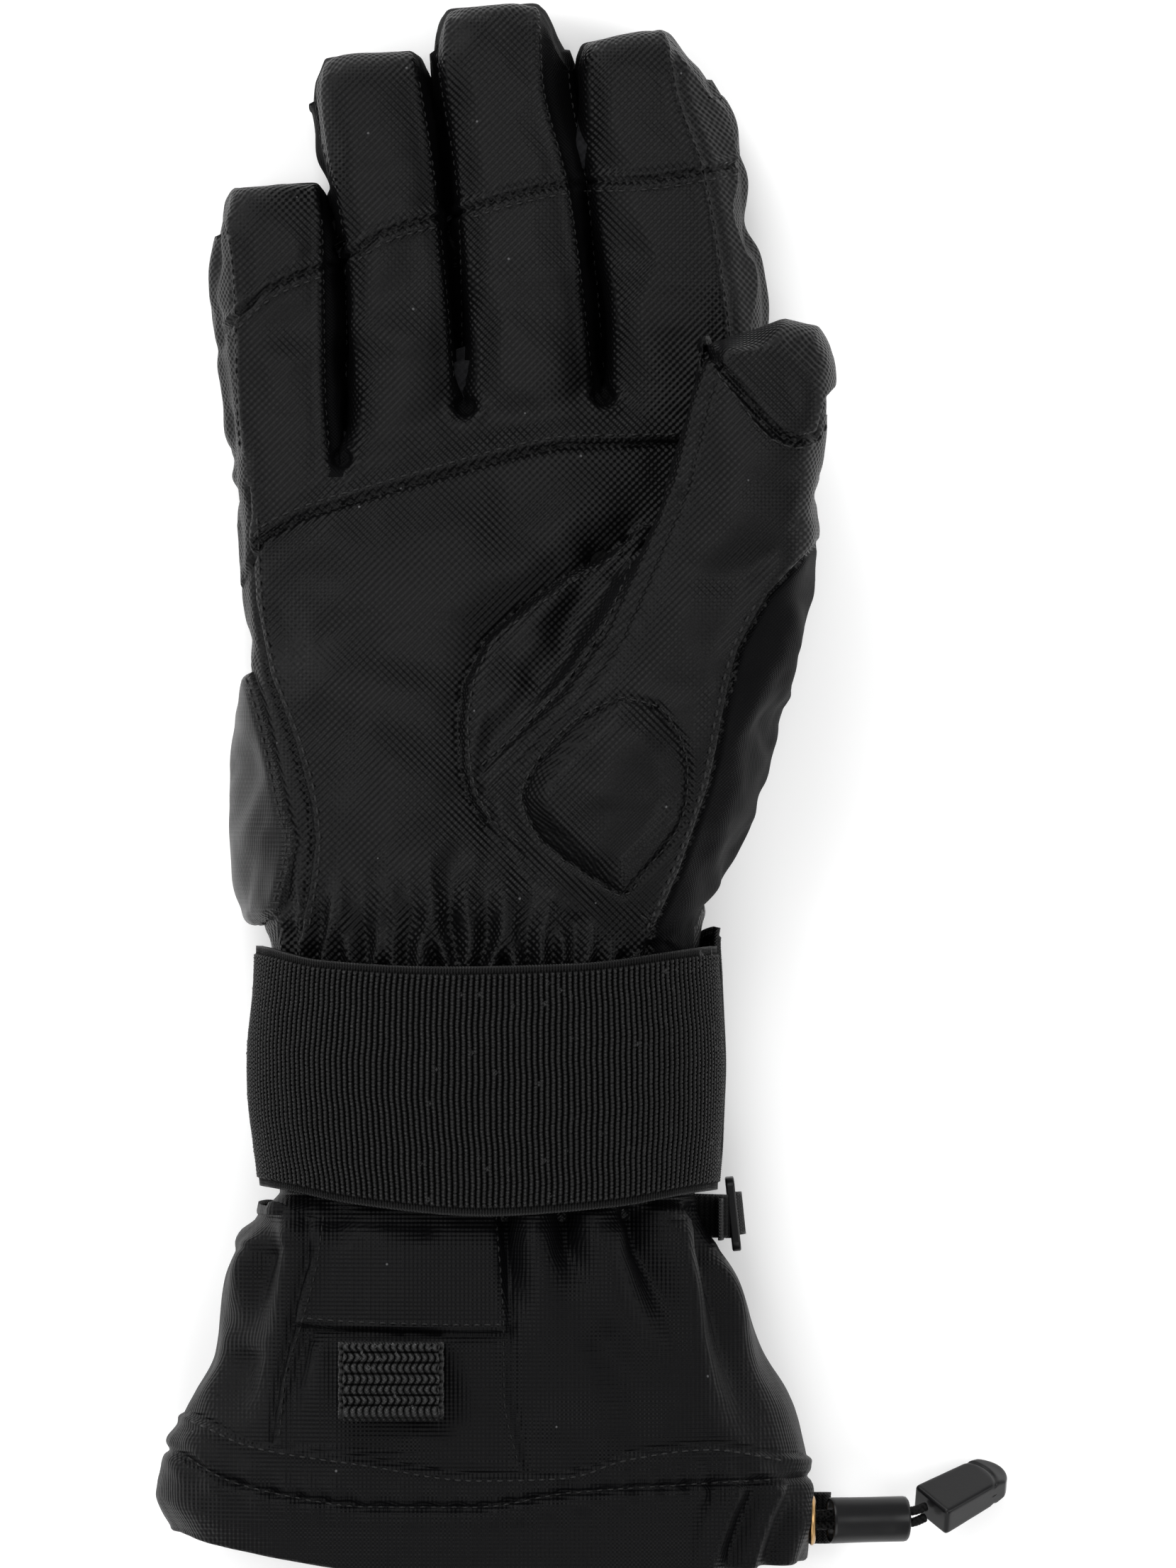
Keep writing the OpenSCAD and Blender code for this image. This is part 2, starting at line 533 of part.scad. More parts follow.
// Moulded cord end: a flat wedge with a round nose and an open mouth.
module cord_end() {
    color(grey) translate([87.5, -146.8, 13.4]) rotate([0, 31, 27]) rotate([-41, 0, 0]) difference() {
        linear_extrude(end_t, center = true) union() {
            polygon([[0, -end_w / 2], [end_l - 4.5, -end_w / 2 + 0.6], [end_l - 4.5, end_w / 2 - 0.6], [0, end_w / 2]]);
            intersection() {
                translate([end_l - 5.2, 0]) circle(r = 5.2, $fn = 48);
                translate([5, -end_w / 2 + 0.6]) square([end_l, end_w - 1.2]);
            }
        }
        translate([-0.1, -end_w / 2 + 1.1, -end_t / 2 + 1.1]) cube([8, end_w - 2.2, end_t - 2.2]);
    }
}

palm_panel_upper();
palm_panel_lower();
hand_back_panel();
fourchette_little_ring();
fourchette_ring_middle();
fourchette_middle_index();
little_side_panel();
index_side_panel();
hypothenar_pad();
thenar_panel();
thumb_front_panel();
thumb_back_panel();
thenar_pad();
hand_wadding();
hand_lining();
tip_patch(0);  // index_tip_patch
end_back(0);  // index_end_back
end_wadding(0);  // index_end_wadding
end_lining(0);  // index_end_lining
tip_patch(1);  // middle_tip_patch
end_back(1);  // middle_end_back
end_wadding(1);  // middle_end_wadding
end_lining(1);  // middle_end_lining
tip_patch(2);  // ring_tip_patch
end_back(2);  // ring_end_back
end_wadding(2);  // ring_end_wadding
end_lining(2);  // ring_end_lining
tip_patch(3);  // little_tip_patch
end_back(3);  // little_end_back
end_wadding(3);  // little_end_wadding
end_lining(3);  // little_end_lining
thumb_tip_patch();
thumb_end_back();
thumb_end_wadding();
thumb_end_lining();
wrist_sleeve();
wrist_elastic();
wrist_strap();
strap_hook_patch();
strap_loop_patch();
strap_back_webbing();
adjuster_webbing();
adjuster_loop();
slider_buckle();
gauntlet_flap_panel();
gauntlet_centre_panel();
gauntlet_left_panel();
gauntlet_right_panel();
gauntlet_back_panel();
gauntlet_hem();
gauntlet_lining();
pull_loop();
eyelet();
cord_anchor_tab();
drawcord_a();
drawcord_b();
cord_lock();
cord_end();
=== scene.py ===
import math

import bmesh
import bpy
import numpy as np
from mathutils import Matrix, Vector
from mathutils.bvhtree import BVHTree


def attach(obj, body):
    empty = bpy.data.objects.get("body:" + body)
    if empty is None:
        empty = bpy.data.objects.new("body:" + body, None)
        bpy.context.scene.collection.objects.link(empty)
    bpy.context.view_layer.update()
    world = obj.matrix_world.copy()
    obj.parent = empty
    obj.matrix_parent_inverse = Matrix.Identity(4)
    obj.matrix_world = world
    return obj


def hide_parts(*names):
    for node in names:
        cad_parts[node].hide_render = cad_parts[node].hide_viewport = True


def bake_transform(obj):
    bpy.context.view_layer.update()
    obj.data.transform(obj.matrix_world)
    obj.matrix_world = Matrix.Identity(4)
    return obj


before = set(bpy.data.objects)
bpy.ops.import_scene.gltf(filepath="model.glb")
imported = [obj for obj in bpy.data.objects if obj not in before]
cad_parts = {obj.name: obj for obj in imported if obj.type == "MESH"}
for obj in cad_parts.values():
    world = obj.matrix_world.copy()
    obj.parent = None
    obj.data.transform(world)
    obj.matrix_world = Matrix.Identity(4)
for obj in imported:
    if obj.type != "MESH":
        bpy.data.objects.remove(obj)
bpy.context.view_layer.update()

MM = 0.001
scene = bpy.context.scene

# ------------------------------------------------------------------ camera
cam_data = bpy.data.cameras.new("camera")
cam_data.lens = 500
cam_data.sensor_width = 36
cam_data.clip_end = 20
cam = bpy.data.objects.new("camera", cam_data)
cam.location = (0.0184, 0.0, 0.025 + 0.316 * 500 / 36)
scene.collection.objects.link(cam)
scene.camera = cam

# ------------------------------------------------------------------ shape data (mm)
HAND = [
    [72, -53, 54, 0, 31, 3.2, 0.17, 0], [58, -52, 54, 0, 33, 3.0, 0.12, 0],
    [44, -51, 53, 0, 35, 2.9, 0.06, 0], [29, -50.5, 50, 0, 37, 2.8, 0, 0],
    [15, -52, 46, 0, 40, 2.7, 0, 0], [1, -52, 44, 0, 43, 2.6, 0, 0],
    [-14, -52, 42.5, 0, 46, 2.5, 0, 0], [-26, -50, 42, 0.5, 48, 2.5, 0, 0],
    [-33, -45, 41, 3.4, 48, 2.4, 0, 1], [-58, -46.5, 42, 3.4, 49, 2.4, 0, 1],
    [-88, -44, 41, 3.4, 50, 2.4, 0, 1], [-93, -52, 44.5, 0, 52, 2.4, 0, 0],
    [-100, -55, 49, 0, 53, 2.3, 0, 0], [-114, -56.5, 53, 0, 54, 2.3, 0, 0],
    [-127, -62, 59.5, 0, 54, 2.3, 0, 2], [-139, -66, 62, 0, 54, 2.3, 0, 5],
    [-151, -68, 63, 0, 53, 2.3, 0, 8], [-158.2, -65, 62, 0, 52, 2.3, 0, 9],
]
INDEX = [
    [152, 18.5, 33.5, 5, 24, 3, 0, 0], [149.5, 16.5, 37, 2.5, 27, 3.4, 0, 0],
    [144, 16, 42.5, 1.5, 28.5, 3.8, 0, 0], [128, 17.5, 50, 1, 29.5, 4, 0, 0],
    [115, 19, 51.5, 1, 30, 4, 0, 0], [92, 21.5, 53.5, 1, 30.5, 4, 0, 0],
    [77, 22, 53, 1, 30.5, 4, 0, 0], [60, 25, 50, 4, 27, 3.4, 0, 0],
]
MIDDLE = [
    [158, -9.5, 8.5, 5, 24, 3, 0, 0], [153, -12, 12, 2.5, 27, 3.4, 0, 0],
    [147, -12.2, 14.5, 1.5, 28.5, 3.8, 0, 0], [129, -10, 16.5, 1, 29.5, 4, 0, 0],
    [111, -8.5, 18.2, 1, 30, 4, 0, 0], [86, -6.5, 20.5, 1, 30.5, 4, 0, 0],
    [73, -6, 21, 1, 30.5, 4, 0, 0], [56, -3, 18, 4, 27, 3.4, 0, 0],
]
RING = [
    [147.5, -35, -16.5, 4, 24, 3, 0, 0], [142, -37, -13.8, 2, 28, 3.6, 0, 0],
    [129, -35.5, -11.6, 1, 29, 4, 0, 0], [103, -31, -9.3, 1, 29.5, 4, 0, 0],
    [80, -30, -7.2, 1, 30, 4, 0, 0], [68, -30, -7, 1, 30, 4, 0, 0],
    [52, -27.5, -10, 4, 27, 3.4, 0, 0],
]
LITTLE = [
    [120.5, -54, -36, 4, 24, 3, 0, 0], [116, -55.5, -33.5, 2, 27.5, 3.6, 0, 0],
    [108, -56, -32.2, 1.5, 28.5, 4, 0, 0], [91, -55, -31.6, 1, 29, 4, 0, 0],
    [73, -53.5, -31, 1, 29.5, 4, 0, 0], [62, -52.5, -31, 1, 29.5, 4, 0, 0],
    [44, -48.5, -33, 4, 27, 3.4, 0, 0],
]
THUMB = [
    [121, -6, 9, 43, 54, 3, 0, 0], [116, -11, 12, 40, 58.5, 3.2, 0, 0],
    [108, -13.5, 13.8, 38.5, 61, 3.2, 0, 0], [100, -13, 15.3, 38, 62, 3, 0, 0],
    [86, -12.5, 18.3, 37.5, 61.5, 2.8, 0, 0], [66, -14, 21.2, 34, 60, 2.7, 0, 0],
    [45, -18.5, 22.8, 14, 58, 2.6, 0, 0], [29, -25, 22.3, 6, 56.5, 2.5, 0, 0],
    [14, -29, 21.3, 5, 54, 2.4, 0, 0], [0, -22, 19, 6, 50, 2.3, 0, 0],
    [-10, -12, 14, 10, 43, 2.2, 0, 0],
]
THUMB_AT = np.array([22.2, -20.5])
TURN = math.radians(-17)
FINGERS = {"index": INDEX, "middle": MIDDLE, "ring": RING, "little": LITTLE}
BEND = {"index": (35.5, 115, 22.5), "middle": (5, 111, 22.5), "ring": (-20, 103, 22), "little": (-43.3, 91, 21.5)}
SPREAD = {"index": (7.5, 74), "middle": (2.5, 72), "ring": (-2.5, 72), "little": (-7.5, 60)}

PALM_SEAM = [[-50.5, 42], [-48.5, 46], [-47, 49.5], [-38.5, 54], [-25.5, 58], [-8, 63], [5, 66.5], [13.5, 68], [35, 68.5], [56, 69]]
THENAR_EDGE = [[31.5, -30], [22, -24], [9, -16.5], [-2, -8.5], [-5.5, -2.5], [-7, 3.5], [-7.5, 11.5], [-6.5, 20], [-2, 29.5], [5, 35.5], [13.5, 41.5], [26.5, 49.5]]
THUMB_LEFT = [[42, 85.5], [39, 78], [35, 60.5], [27.5, 43.5], [22, 31], [13.5, 19], [-4.5, 1.5]]
THUMB_RIGHT = [[31.5, -30], [37, -17.5], [43, 0], [45.5, 13], [49, 27], [55, 38], [65.5, 49.5]]
SIDE_SEAM = [[-52.3, 88], [-49.7, 53.7], [-48.9, 37.3], [-45.9, 21.7], [-41, 8.7], [-37.6, -4.3], [-36.9, -11.3], [-39.3, -30]]
PAD_EDGE = [[-54, 26], [-49.6, 22], [-48.2, 18.1], [-45.7, 8.7], [-42, -7.7], [-40.9, -11], [-42, -18], [-43.9, -25.5], [-48, -29], [-60, -29]]
THENAR_PAD = [[24.5, 17.5], [32.5, 15.5], [37, 9], [38.4, 3], [38.3, -2], [37, -7.5], [34, -12.5], [30.5, -16.5], [25.5, -22.5], [17, -17.5], [9, -11.5], [6.3, -7], [5, -2.5], [7.5, 3.5], [16, 13]]
TIP_SEAMS = {
    "index": [[17.5, 121.6], [24, 121.4], [32, 121.9], [41.1, 123.4], [52, 126]],
    "middle": [[-10, 114.2], [-6.4, 115.7], [2, 118.3], [9, 120], [16, 121.3]],
    "ring": [[-33, 103.5], [-30.6, 105.9], [-24, 110.5], [-18, 112.8], [-11.5, 114.4]],
    "little": [[-55, 91.5], [-52.3, 94.4], [-46, 99.8], [-40, 102.6], [-33, 105]],
}
LEFT_EDGE = {
    "index": [[14.7, 152], [14.7, 146.6], [17.6, 126.4], [18.7, 120], [21.6, 88.4], [22.6, 78]],
    "middle": [[-12.1, 158], [-12.1, 153.3], [-10.9, 142.1], [-7.7, 121.7], [-7, 112], [-6.4, 80]],
    "ring": [[-36.4, 148], [-36.4, 143], [-35, 129.6], [-31.4, 116.9], [-30.1, 105.9], [-29.9, 70]],
    "little": [[-55.9, 121], [-55.9, 116.1], [-53.6, 110.6], [-52.3, 94.9], [-52, 79], [-51, 60]],
}
RIGHT_EDGE = {
    "index": [[33.4, 152], [34.1, 149.9], [35.9, 139.1], [41.1, 124], [44.6, 105], [46.6, 89.1], [47.4, 72]],
    "middle": [[7.6, 160], [8.1, 157.7], [8.6, 143.7], [14.1, 119.4], [17, 98], [19.1, 78]],
    "ring": [[-17.3, 149], [-17.1, 147.7], [-15.3, 137.4], [-12.7, 120.1], [-11.6, 110], [-8.6, 76]],
    "little": [[-36.8, 122], [-36.3, 120.9], [-35.4, 104.3], [-35, 79], [-34.1, 66]],
}
CROTCH = [[-31.2, 65.5], [-6.3, 76.2], [21.6, 78.4]]
THUMB_TIP = [[40.5, 86.5], [43.7, 85.7], [47, 81.4], [50.7, 77], [53.6, 72.7], [56.7, 70.1], [60.1, 68.9], [63.7, 70.1], [65.4, 77], [68, 80]]
CUFF_LEFT = [[-36, -86], [-37.4, -96.3], [-40.3, -107.6], [-43.7, -119], [-44.9, -131.6]]
CUFF_RIGHT = [[1.3, -86], [2.9, -109.9], [3, -122.4], [5.9, -136.2]]
FLAP_EDGE = [[-40.3, -108.7], [-30, -109.5], [-18, -109.9], [-6, -110.1], [2.6, -110]]
HEM_SEAM = [[-90, -124], [-62, -126.5], [-49, -131.5], [-26, -135], [-3.5, -138], [14, -137.5], [25.5, -134], [42.5, -132], [61, -135], [90, -138]]
HEM_STITCH = [[-90, -131], [-64, -134.5], [-54.5, -139.6], [-43, -142.5], [-26, -144.8], [-3.5, -144.8], [14, -142], [31, -140.8], [61, -139.6], [90, -141]]
STRAP_TOP = [[-80, -32.5], [-48.6, -33.7], [-35.4, -35.9], [-13.6, -36.6], [15.6, -36], [44, -33], [80, -31.8]]
STRAP_LOW = [[-80, -80.5], [-46.4, -82.1], [-28.1, -84.7], [-2.6, -86.6], [22.9, -85], [43.3, -82.1], [80, -81]]


def smooth(x):
    x = np.clip(x, 0, 1)
    return x * x * (3 - 2 * x)


def pchip(xs, ys, q):
    """Monotone cubic interpolation; xs go up."""
    h = np.diff(xs)
    d = np.diff(ys) / h
    m = np.zeros(len(xs))
    m[0], m[-1] = d[0], d[-1]
    for i in range(1, len(xs) - 1):
        if d[i - 1] * d[i] > 0:
            w1, w2 = 2 * h[i] + h[i - 1], h[i] + 2 * h[i - 1]
            m[i] = (w1 + w2) / (w1 / d[i - 1] + w2 / d[i])
    q = np.clip(q, xs[0], xs[-1])
    i = np.clip(np.searchsorted(xs, q) - 1, 0, len(xs) - 2)
    t = (q - xs[i]) / h[i]
    return (2 * t**3 - 3 * t**2 + 1) * ys[i] + (t**3 - 2 * t**2 + t) * h[i] * m[i] + (-2 * t**3 + 3 * t**2) * ys[i + 1] + (t**3 - t**2) * h[i] * m[i + 1]


def row_at(rows, y):
    """The loft's row values at heights y along the glove, as columns."""
    r = np.array(sorted(rows), float)
    return [pchip(r[:, 0], r[:, k], np.asarray(y, float)) for k in range(1, 8)]


def ring(rows, y, t, off=0.0, wide=0.4):
    """Point of the loft at row y and angle t, moved inwards by off."""
    y, t = np.broadcast_arrays(np.asarray(y, float), np.asarray(t, float))
    xl, xr, z0, z1, n, slope, bow = row_at(rows, y)
    a = np.maximum((xr - xl) / 2 - off, 0.6)
    cx = (xl + xr) / 2
    cz = z0 + wide * (z1 - z0)
    s, c = np.sin(t), np.cos(t)
    b = np.where(s >= 0, np.maximum(z1 - cz - off, 0.4), np.maximum(cz - z0 - off, 0.4) + 2)
    e = 2 / n
    x = cx + a * np.sign(c) * np.abs(c) ** e
    z = cz + b * np.sign(s) * np.abs(s) ** e
    z = np.maximum(z, np.minimum(z0 + off, cz - 0.4))
    k = (x - cx) / ((xr - xl) / 2)
    return np.stack([x, y + slope * (x - cx) + bow * k * k * np.where(k > 0, 0.3, 1), z], -1)


def to_thumb(p):
    """World x, y to the thumb's own x, y."""
    d = p[:, :2] - THUMB_AT
    c, s = math.cos(-TURN), math.sin(-TURN)
    return np.stack([d[:, 0] * c - d[:, 1] * s, d[:, 0] * s + d[:, 1] * c], -1)


def from_thumb(p):
    c, s = math.cos(TURN), math.sin(TURN)
    q = p.copy()
    q[..., 0] = p[..., 0] * c - p[..., 1] * s + THUMB_AT[0]
    q[..., 1] = p[..., 0] * s + p[..., 1] * c + THUMB_AT[1]
    return q


def poly_dist(p, poly):
    """Distance to a flat line, side of it (+ to the left of its direction) and length along it."""
    p = p[:, :2]
    poly = np.array(poly, float)
    best = np.full(len(p), 1e9)
    side = np.zeros(len(p))
    along = np.zeros(len(p))
    run = 0.0
    for a, b in zip(poly[:-1], poly[1:]):
        d = b - a
        L = np.hypot(*d)
        t = np.clip(((p - a) @ d) / L**2, 0, 1)
        q = a + t[:, None] * d
        r = np.hypot(p[:, 0] - q[:, 0], p[:, 1] - q[:, 1])
        m = r < best
        best[m] = r[m]
        side[m] = np.sign(d[0] * (p[m, 1] - a[1]) - d[1] * (p[m, 0] - a[0]))
        along[m] = run + t[m] * L
        run += L
    return best, side, along


def inside(p, poly):
    """Which points are in a flat outline."""
    x, y = p[:, 0], p[:, 1]
    res = np.zeros(len(p), bool)
    n = len(poly)
    for i in range(n):
        (x1, y1), (x2, y2) = poly[i], poly[(i + 1) % n]
        if y1 == y2:
            continue
        hit = ((y1 > y) != (y2 > y)) & (x < (x2 - x1) * (y - y1) / (y2 - y1) + x1)
        res ^= hit
    return res


def curve_y(poly, x):
    q = np.array(poly, float)
    return pchip(q[:, 0], q[:, 1], x)


def curve_x(poly, y):
    q = np.array(sorted(poly, key=lambda v: v[1]), float)
    return pchip(q[:, 1], q[:, 0], y)


def noise(p, scale, seed=0, octaves=2):
    """Smooth repeatable noise from summed sines, about -1 to 1."""
    rng = np.random.RandomState(seed)
    out = np.zeros(len(p))
    amp, total = 1.0, 0.0
    for o in range(octaves):
        for k in range(5):
            d = rng.normal(size=3)
            d /= np.linalg.norm(d)
            f = 2 * math.pi / (scale / 2**o) * rng.uniform(0.7, 1.3)
            ph = rng.uniform(0, 6.28)
            bend = rng.uniform(0, 6.28)
            out += amp * np.sin(p @ d * f + ph + 1.3 * np.sin(p @ np.roll(d, 1) * f * 0.6 + bend)) / 2.6
        total += amp
        amp *= 0.5
    return out / total / 1.2


# ------------------------------------------------------------------ mesh helpers
def new_object(name, verts, faces, smooth_faces=True):
    me = bpy.data.meshes.new(name)
    me.from_pydata([tuple(v) for v in np.asarray(verts, float) * MM], [], [tuple(int(i) for i in f) for f in faces])
    me.validate()
    me.polygons.foreach_set("use_smooth", [smooth_faces] * len(me.polygons))
    ob = bpy.data.objects.new(name, me)
    scene.collection.objects.link(ob)
    return ob


def grid_faces(nu, nv, wrap_u=False):
    """Quads of a grid stored v-major: index v * nu + u."""
    i = np.arange(nu if wrap_u else nu - 1)
    j = np.arange(nv - 1)
    I, J = np.meshgrid(i, j)
    a = J * nu + I
    b = J * nu + (I + 1) % nu
    c = (J + 1) * nu + (I + 1) % nu
    d = (J + 1) * nu + I
    return np.stack([a, b, c, d], -1).reshape(-1, 4)


def coords(ob):
    co = np.zeros(len(ob.data.vertices) * 3)
    ob.data.vertices.foreach_get("co", co)
    return co.reshape(-1, 3) / MM


def set_coords(ob, co):
    ob.data.vertices.foreach_set("co", (np.asarray(co) * MM).ravel())
    ob.data.update()


def normals(ob):
    n = np.zeros(len(ob.data.vertices) * 3)
    ob.data.vertices.foreach_get("normal", n)
    return n.reshape(-1, 3)


def quads(ob):
    me = ob.data
    f = np.zeros(len(me.polygons) * 4, int)
    if len(me.loops) == len(me.polygons) * 4:
        me.loops.foreach_get("vertex_index", f)
        return f.reshape(-1, 4)
    return None


def baked(ob, name=None):
    """The object's mesh with its modifiers applied, as the same object."""
    dg = bpy.context.evaluated_depsgraph_get()
    dg.update()
    me = bpy.data.meshes.new_from_object(ob.evaluated_get(dg))
    ob.modifiers.clear()
    old = ob.data
    ob.data = me
    bpy.data.meshes.remove(old)
    return ob


def join_lofts(parts):
    verts, faces, base = [], [], 0
    for v, f in parts:
        verts.append(v)
        faces.extend([tuple(int(i) + base for i in q) for q in f])
        base += len(v)
    return np.vstack(verts), faces


def closed_loft(rows, y0, y1, off=0, wide=0.4, n=72, step=1.5, move=None):
    ys = np.linspace(y0, y1, max(3, int(abs(y1 - y0) / step)))
    t = (np.arange(n) + 0.5) / n * 2 * math.pi
    P = ring(rows, ys[:, None], t[None, :], off, wide)
    c0, c1 = P[0].mean(0), P[-1].mean(0)
    V = np.vstack([P.reshape(-1, 3), c0, c1])
    m = len(ys)
    F = [tuple(q) for q in grid_faces(n, m, True)]
    k = m * n
    F += [(k, (j + 1) % n, j) for j in range(n)]
    F += [(k + 1, (m - 1) * n + j, (m - 1) * n + (j + 1) % n) for j in range(n)]
    if move is not None:
        V = move(V)
    return V, F


# ------------------------------------------------------------------ materials
def new_mat(name):
    m = bpy.data.materials.new(name)
    m.use_nodes = True
    nt = m.node_tree
    bsdf = nt.nodes["Principled BSDF"]
    return m, nt, bsdf


def nd(nt, kind, **vals):
    n = nt.nodes.new(kind)
    for k, v in vals.items():
        setattr(n, k, v)
    return n


def mth(nt, op, a, b=None, clamp=False):
    n = nt.nodes.new("ShaderNodeMath")
    n.operation = op
    n.use_clamp = clamp
    for i, v in enumerate((a, b)):
        if v is None:
            continue
        if isinstance(v, (int, float)):
            n.inputs[i].default_value = v
        else:
            nt.links.new(v, n.inputs[i])
    return n.outputs[0]


def fabric(name, base, rough, kind="canvas", pitch=1.0, bump=0.5, spec=0.2, sheen=0.0, vary=0.25, specks=True, base2=None, crest_shine_gap_shade=False):
    """Woven cloth: the weave is laid on along the three axes and blended by the way the surface faces."""
    m, nt, bsdf = new_mat(name)
    tc = nd(nt, "ShaderNodeTexCoord")
    geo = nd(nt, "ShaderNodeNewGeometry")
    sp = nd(nt, "ShaderNodeSeparateXYZ")
    nt.links.new(tc.outputs["Object"], sp.inputs[0])
    sn = nd(nt, "ShaderNodeSeparateXYZ")
    nt.links.new(geo.outputs["Normal"], sn.inputs[0])
    X, Y, Z = (mth(nt, "MULTIPLY", sp.outputs[i], 1000.0) for i in range(3))
    W = [mth(nt, "POWER", mth(nt, "ABSOLUTE", sn.outputs[i]), 5.0) for i in range(3)]
    tot = mth(nt, "ADD", mth(nt, "ADD", W[0], W[1]), mth(nt, "ADD", W[2], 1e-4))
    k = 2 * math.pi / pitch

    def pat(a, b):
        if kind == "canvas":  # small diagonal squares
            s = mth(nt, "SINE", mth(nt, "MULTIPLY", a, k * 0.7071))
            t = mth(nt, "SINE", mth(nt, "MULTIPLY", b, k * 0.7071))
            return mth(nt, "MULTIPLY", s, t)
        if kind == "ripstop":  # fine plain weave with a stronger thread both ways
            s = mth(nt, "SINE", mth(nt, "MULTIPLY", a, k))
            t = mth(nt, "SINE", mth(nt, "MULTIPLY", b, k))
            g1 = mth(nt, "POWER", mth(nt, "ABSOLUTE", mth(nt, "SINE", mth(nt, "MULTIPLY", a, k / 8))), 24.0)
            g2 = mth(nt, "POWER", mth(nt, "ABSOLUTE", mth(nt, "SINE", mth(nt, "MULTIPLY", b, k / 8))), 24.0)
            return mth(nt, "ADD", mth(nt, "MULTIPLY", mth(nt, "ADD", s, t), 0.4), mth(nt, "MULTIPLY", mth(nt, "ADD", g1, g2), 0.35))
        if kind == "rib":  # fine ribs across the glove
            s = mth(nt, "SINE", mth(nt, "MULTIPLY", b, k))
            t = mth(nt, "SINE", mth(nt, "MULTIPLY", a, k * 1.6))
            return mth(nt, "ADD", s, mth(nt, "MULTIPLY", t, 0.25))
        s = mth(nt, "SINE", mth(nt, "MULTIPLY", a, k))
        t = mth(nt, "SINE", mth(nt, "MULTIPLY", b, k))
        return mth(nt, "MULTIPLY", s, t)

    h = mth(nt, "ADD", mth(nt, "MULTIPLY", pat(X, Y), W[2]), mth(nt, "ADD", mth(nt, "MULTIPLY", pat(Z, Y), W[0]), mth(nt, "MULTIPLY", pat(X, Z), W[1])))
    h = mth(nt, "DIVIDE", h, tot)
    no = nd(nt, "ShaderNodeTexNoise")
    no.inputs["Scale"].default_value = 900
    no.inputs["Detail"].default_value = 3
    nt.links.new(tc.outputs["Object"], no.inputs["Vector"])
    hh = mth(nt, "ADD", h, mth(nt, "MULTIPLY", no.outputs[0], 0.7))
    bp = nd(nt, "ShaderNodeBump")
    bp.inputs["Strength"].default_value = bump
    bp.inputs["Distance"].default_value = 0.00017 * pitch
    nt.links.new(hh, bp.inputs["Height"])
    nt.links.new(bp.outputs[0], bsdf.inputs["Normal"])
    big = nd(nt, "ShaderNodeTexNoise")
    big.inputs["Scale"].default_value = 28
    big.inputs["Detail"].default_value = 4
    nt.links.new(tc.outputs["Object"], big.inputs["Vector"])
    mix = nd(nt, "ShaderNodeMix", data_type="RGBA")
    fac = mth(nt, "ADD", mth(nt, "MULTIPLY", h, 0.32), mth(nt, "MULTIPLY", big.outputs[0], 0.9), clamp=True)
    nt.links.new(fac, mix.inputs[0])
    lo = [c * (1 - vary) for c in base]
    hi = base2 or [c * (1 + vary) for c in base]
    mix.inputs[6].default_value = (*lo, 1)
    mix.inputs[7].default_value = (*hi, 1)
    col = mix.outputs[2]
    if specks:  # a few pale fibres
        vo = nd(nt, "ShaderNodeTexVoronoi")
        vo.inputs["Scale"].default_value = 330
        nt.links.new(tc.outputs["Object"], vo.inputs["Vector"])
        hit = mth(nt, "LESS_THAN", vo.outputs["Distance"], 0.085)
        rn = nd(nt, "ShaderNodeTexWhiteNoise")
        nt.links.new(vo.outputs["Position"], rn.inputs["Vector"])
        few = mth(nt, "GREATER_THAN", rn.outputs["Value"], 0.955)
        m2 = nd(nt, "ShaderNodeMix", data_type="RGBA")
        nt.links.new(mth(nt, "MULTIPLY", hit, few), m2.inputs[0])
        nt.links.new(col, m2.inputs[6])
        m2.inputs[7].default_value = (0.07, 0.07, 0.072, 1)
        col = m2.outputs[2]
    ro = mth(nt, "ADD", mth(nt, "MULTIPLY", big.outputs[0], 0.16), rough - 0.08)
    if crest_shine_gap_shade:  # painted shade: the concave gaps between the thread crests (low pointiness) get a base colour darkened almost to black and more roughness, while the crests shine
        up = mth(nt, "MULTIPLY", mth(nt, "SUBTRACT", geo.outputs["Pointiness"], 0.465), 11.0, clamp=True)
        gap_shade_mix = nd(nt, "ShaderNodeMix", data_type="RGBA")
        nt.links.new(up, gap_shade_mix.inputs[0])
        # painted shade: near-black colour laid into the concave gaps between the threads
        gap_shade_mix.inputs[6].default_value = (0.0004, 0.0004, 0.0004, 1)
        nt.links.new(col, gap_shade_mix.inputs[7])
        col = gap_shade_mix.outputs[2]
        ro = mth(nt, "SUBTRACT", mth(nt, "ADD", ro, 0.5), mth(nt, "MULTIPLY", up, 0.5))
    nt.links.new(col, bsdf.inputs["Base Color"])
    nt.links.new(ro, bsdf.inputs["Roughness"])
    bsdf.inputs["Specular IOR Level"].default_value = spec
    if crest_shine_gap_shade:
        nt.links.new(mth(nt, "ADD", mth(nt, "MULTIPLY", up, spec * 1.3), 0.02), bsdf.inputs["Specular IOR Level"])
    if sheen:
        bsdf.inputs["Sheen Weight"].default_value = sheen
        bsdf.inputs["Sheen Roughness"].default_value = 0.4
        bsdf.inputs["Sheen Tint"].default_value = (0.5, 0.5, 0.52, 1)
    return m


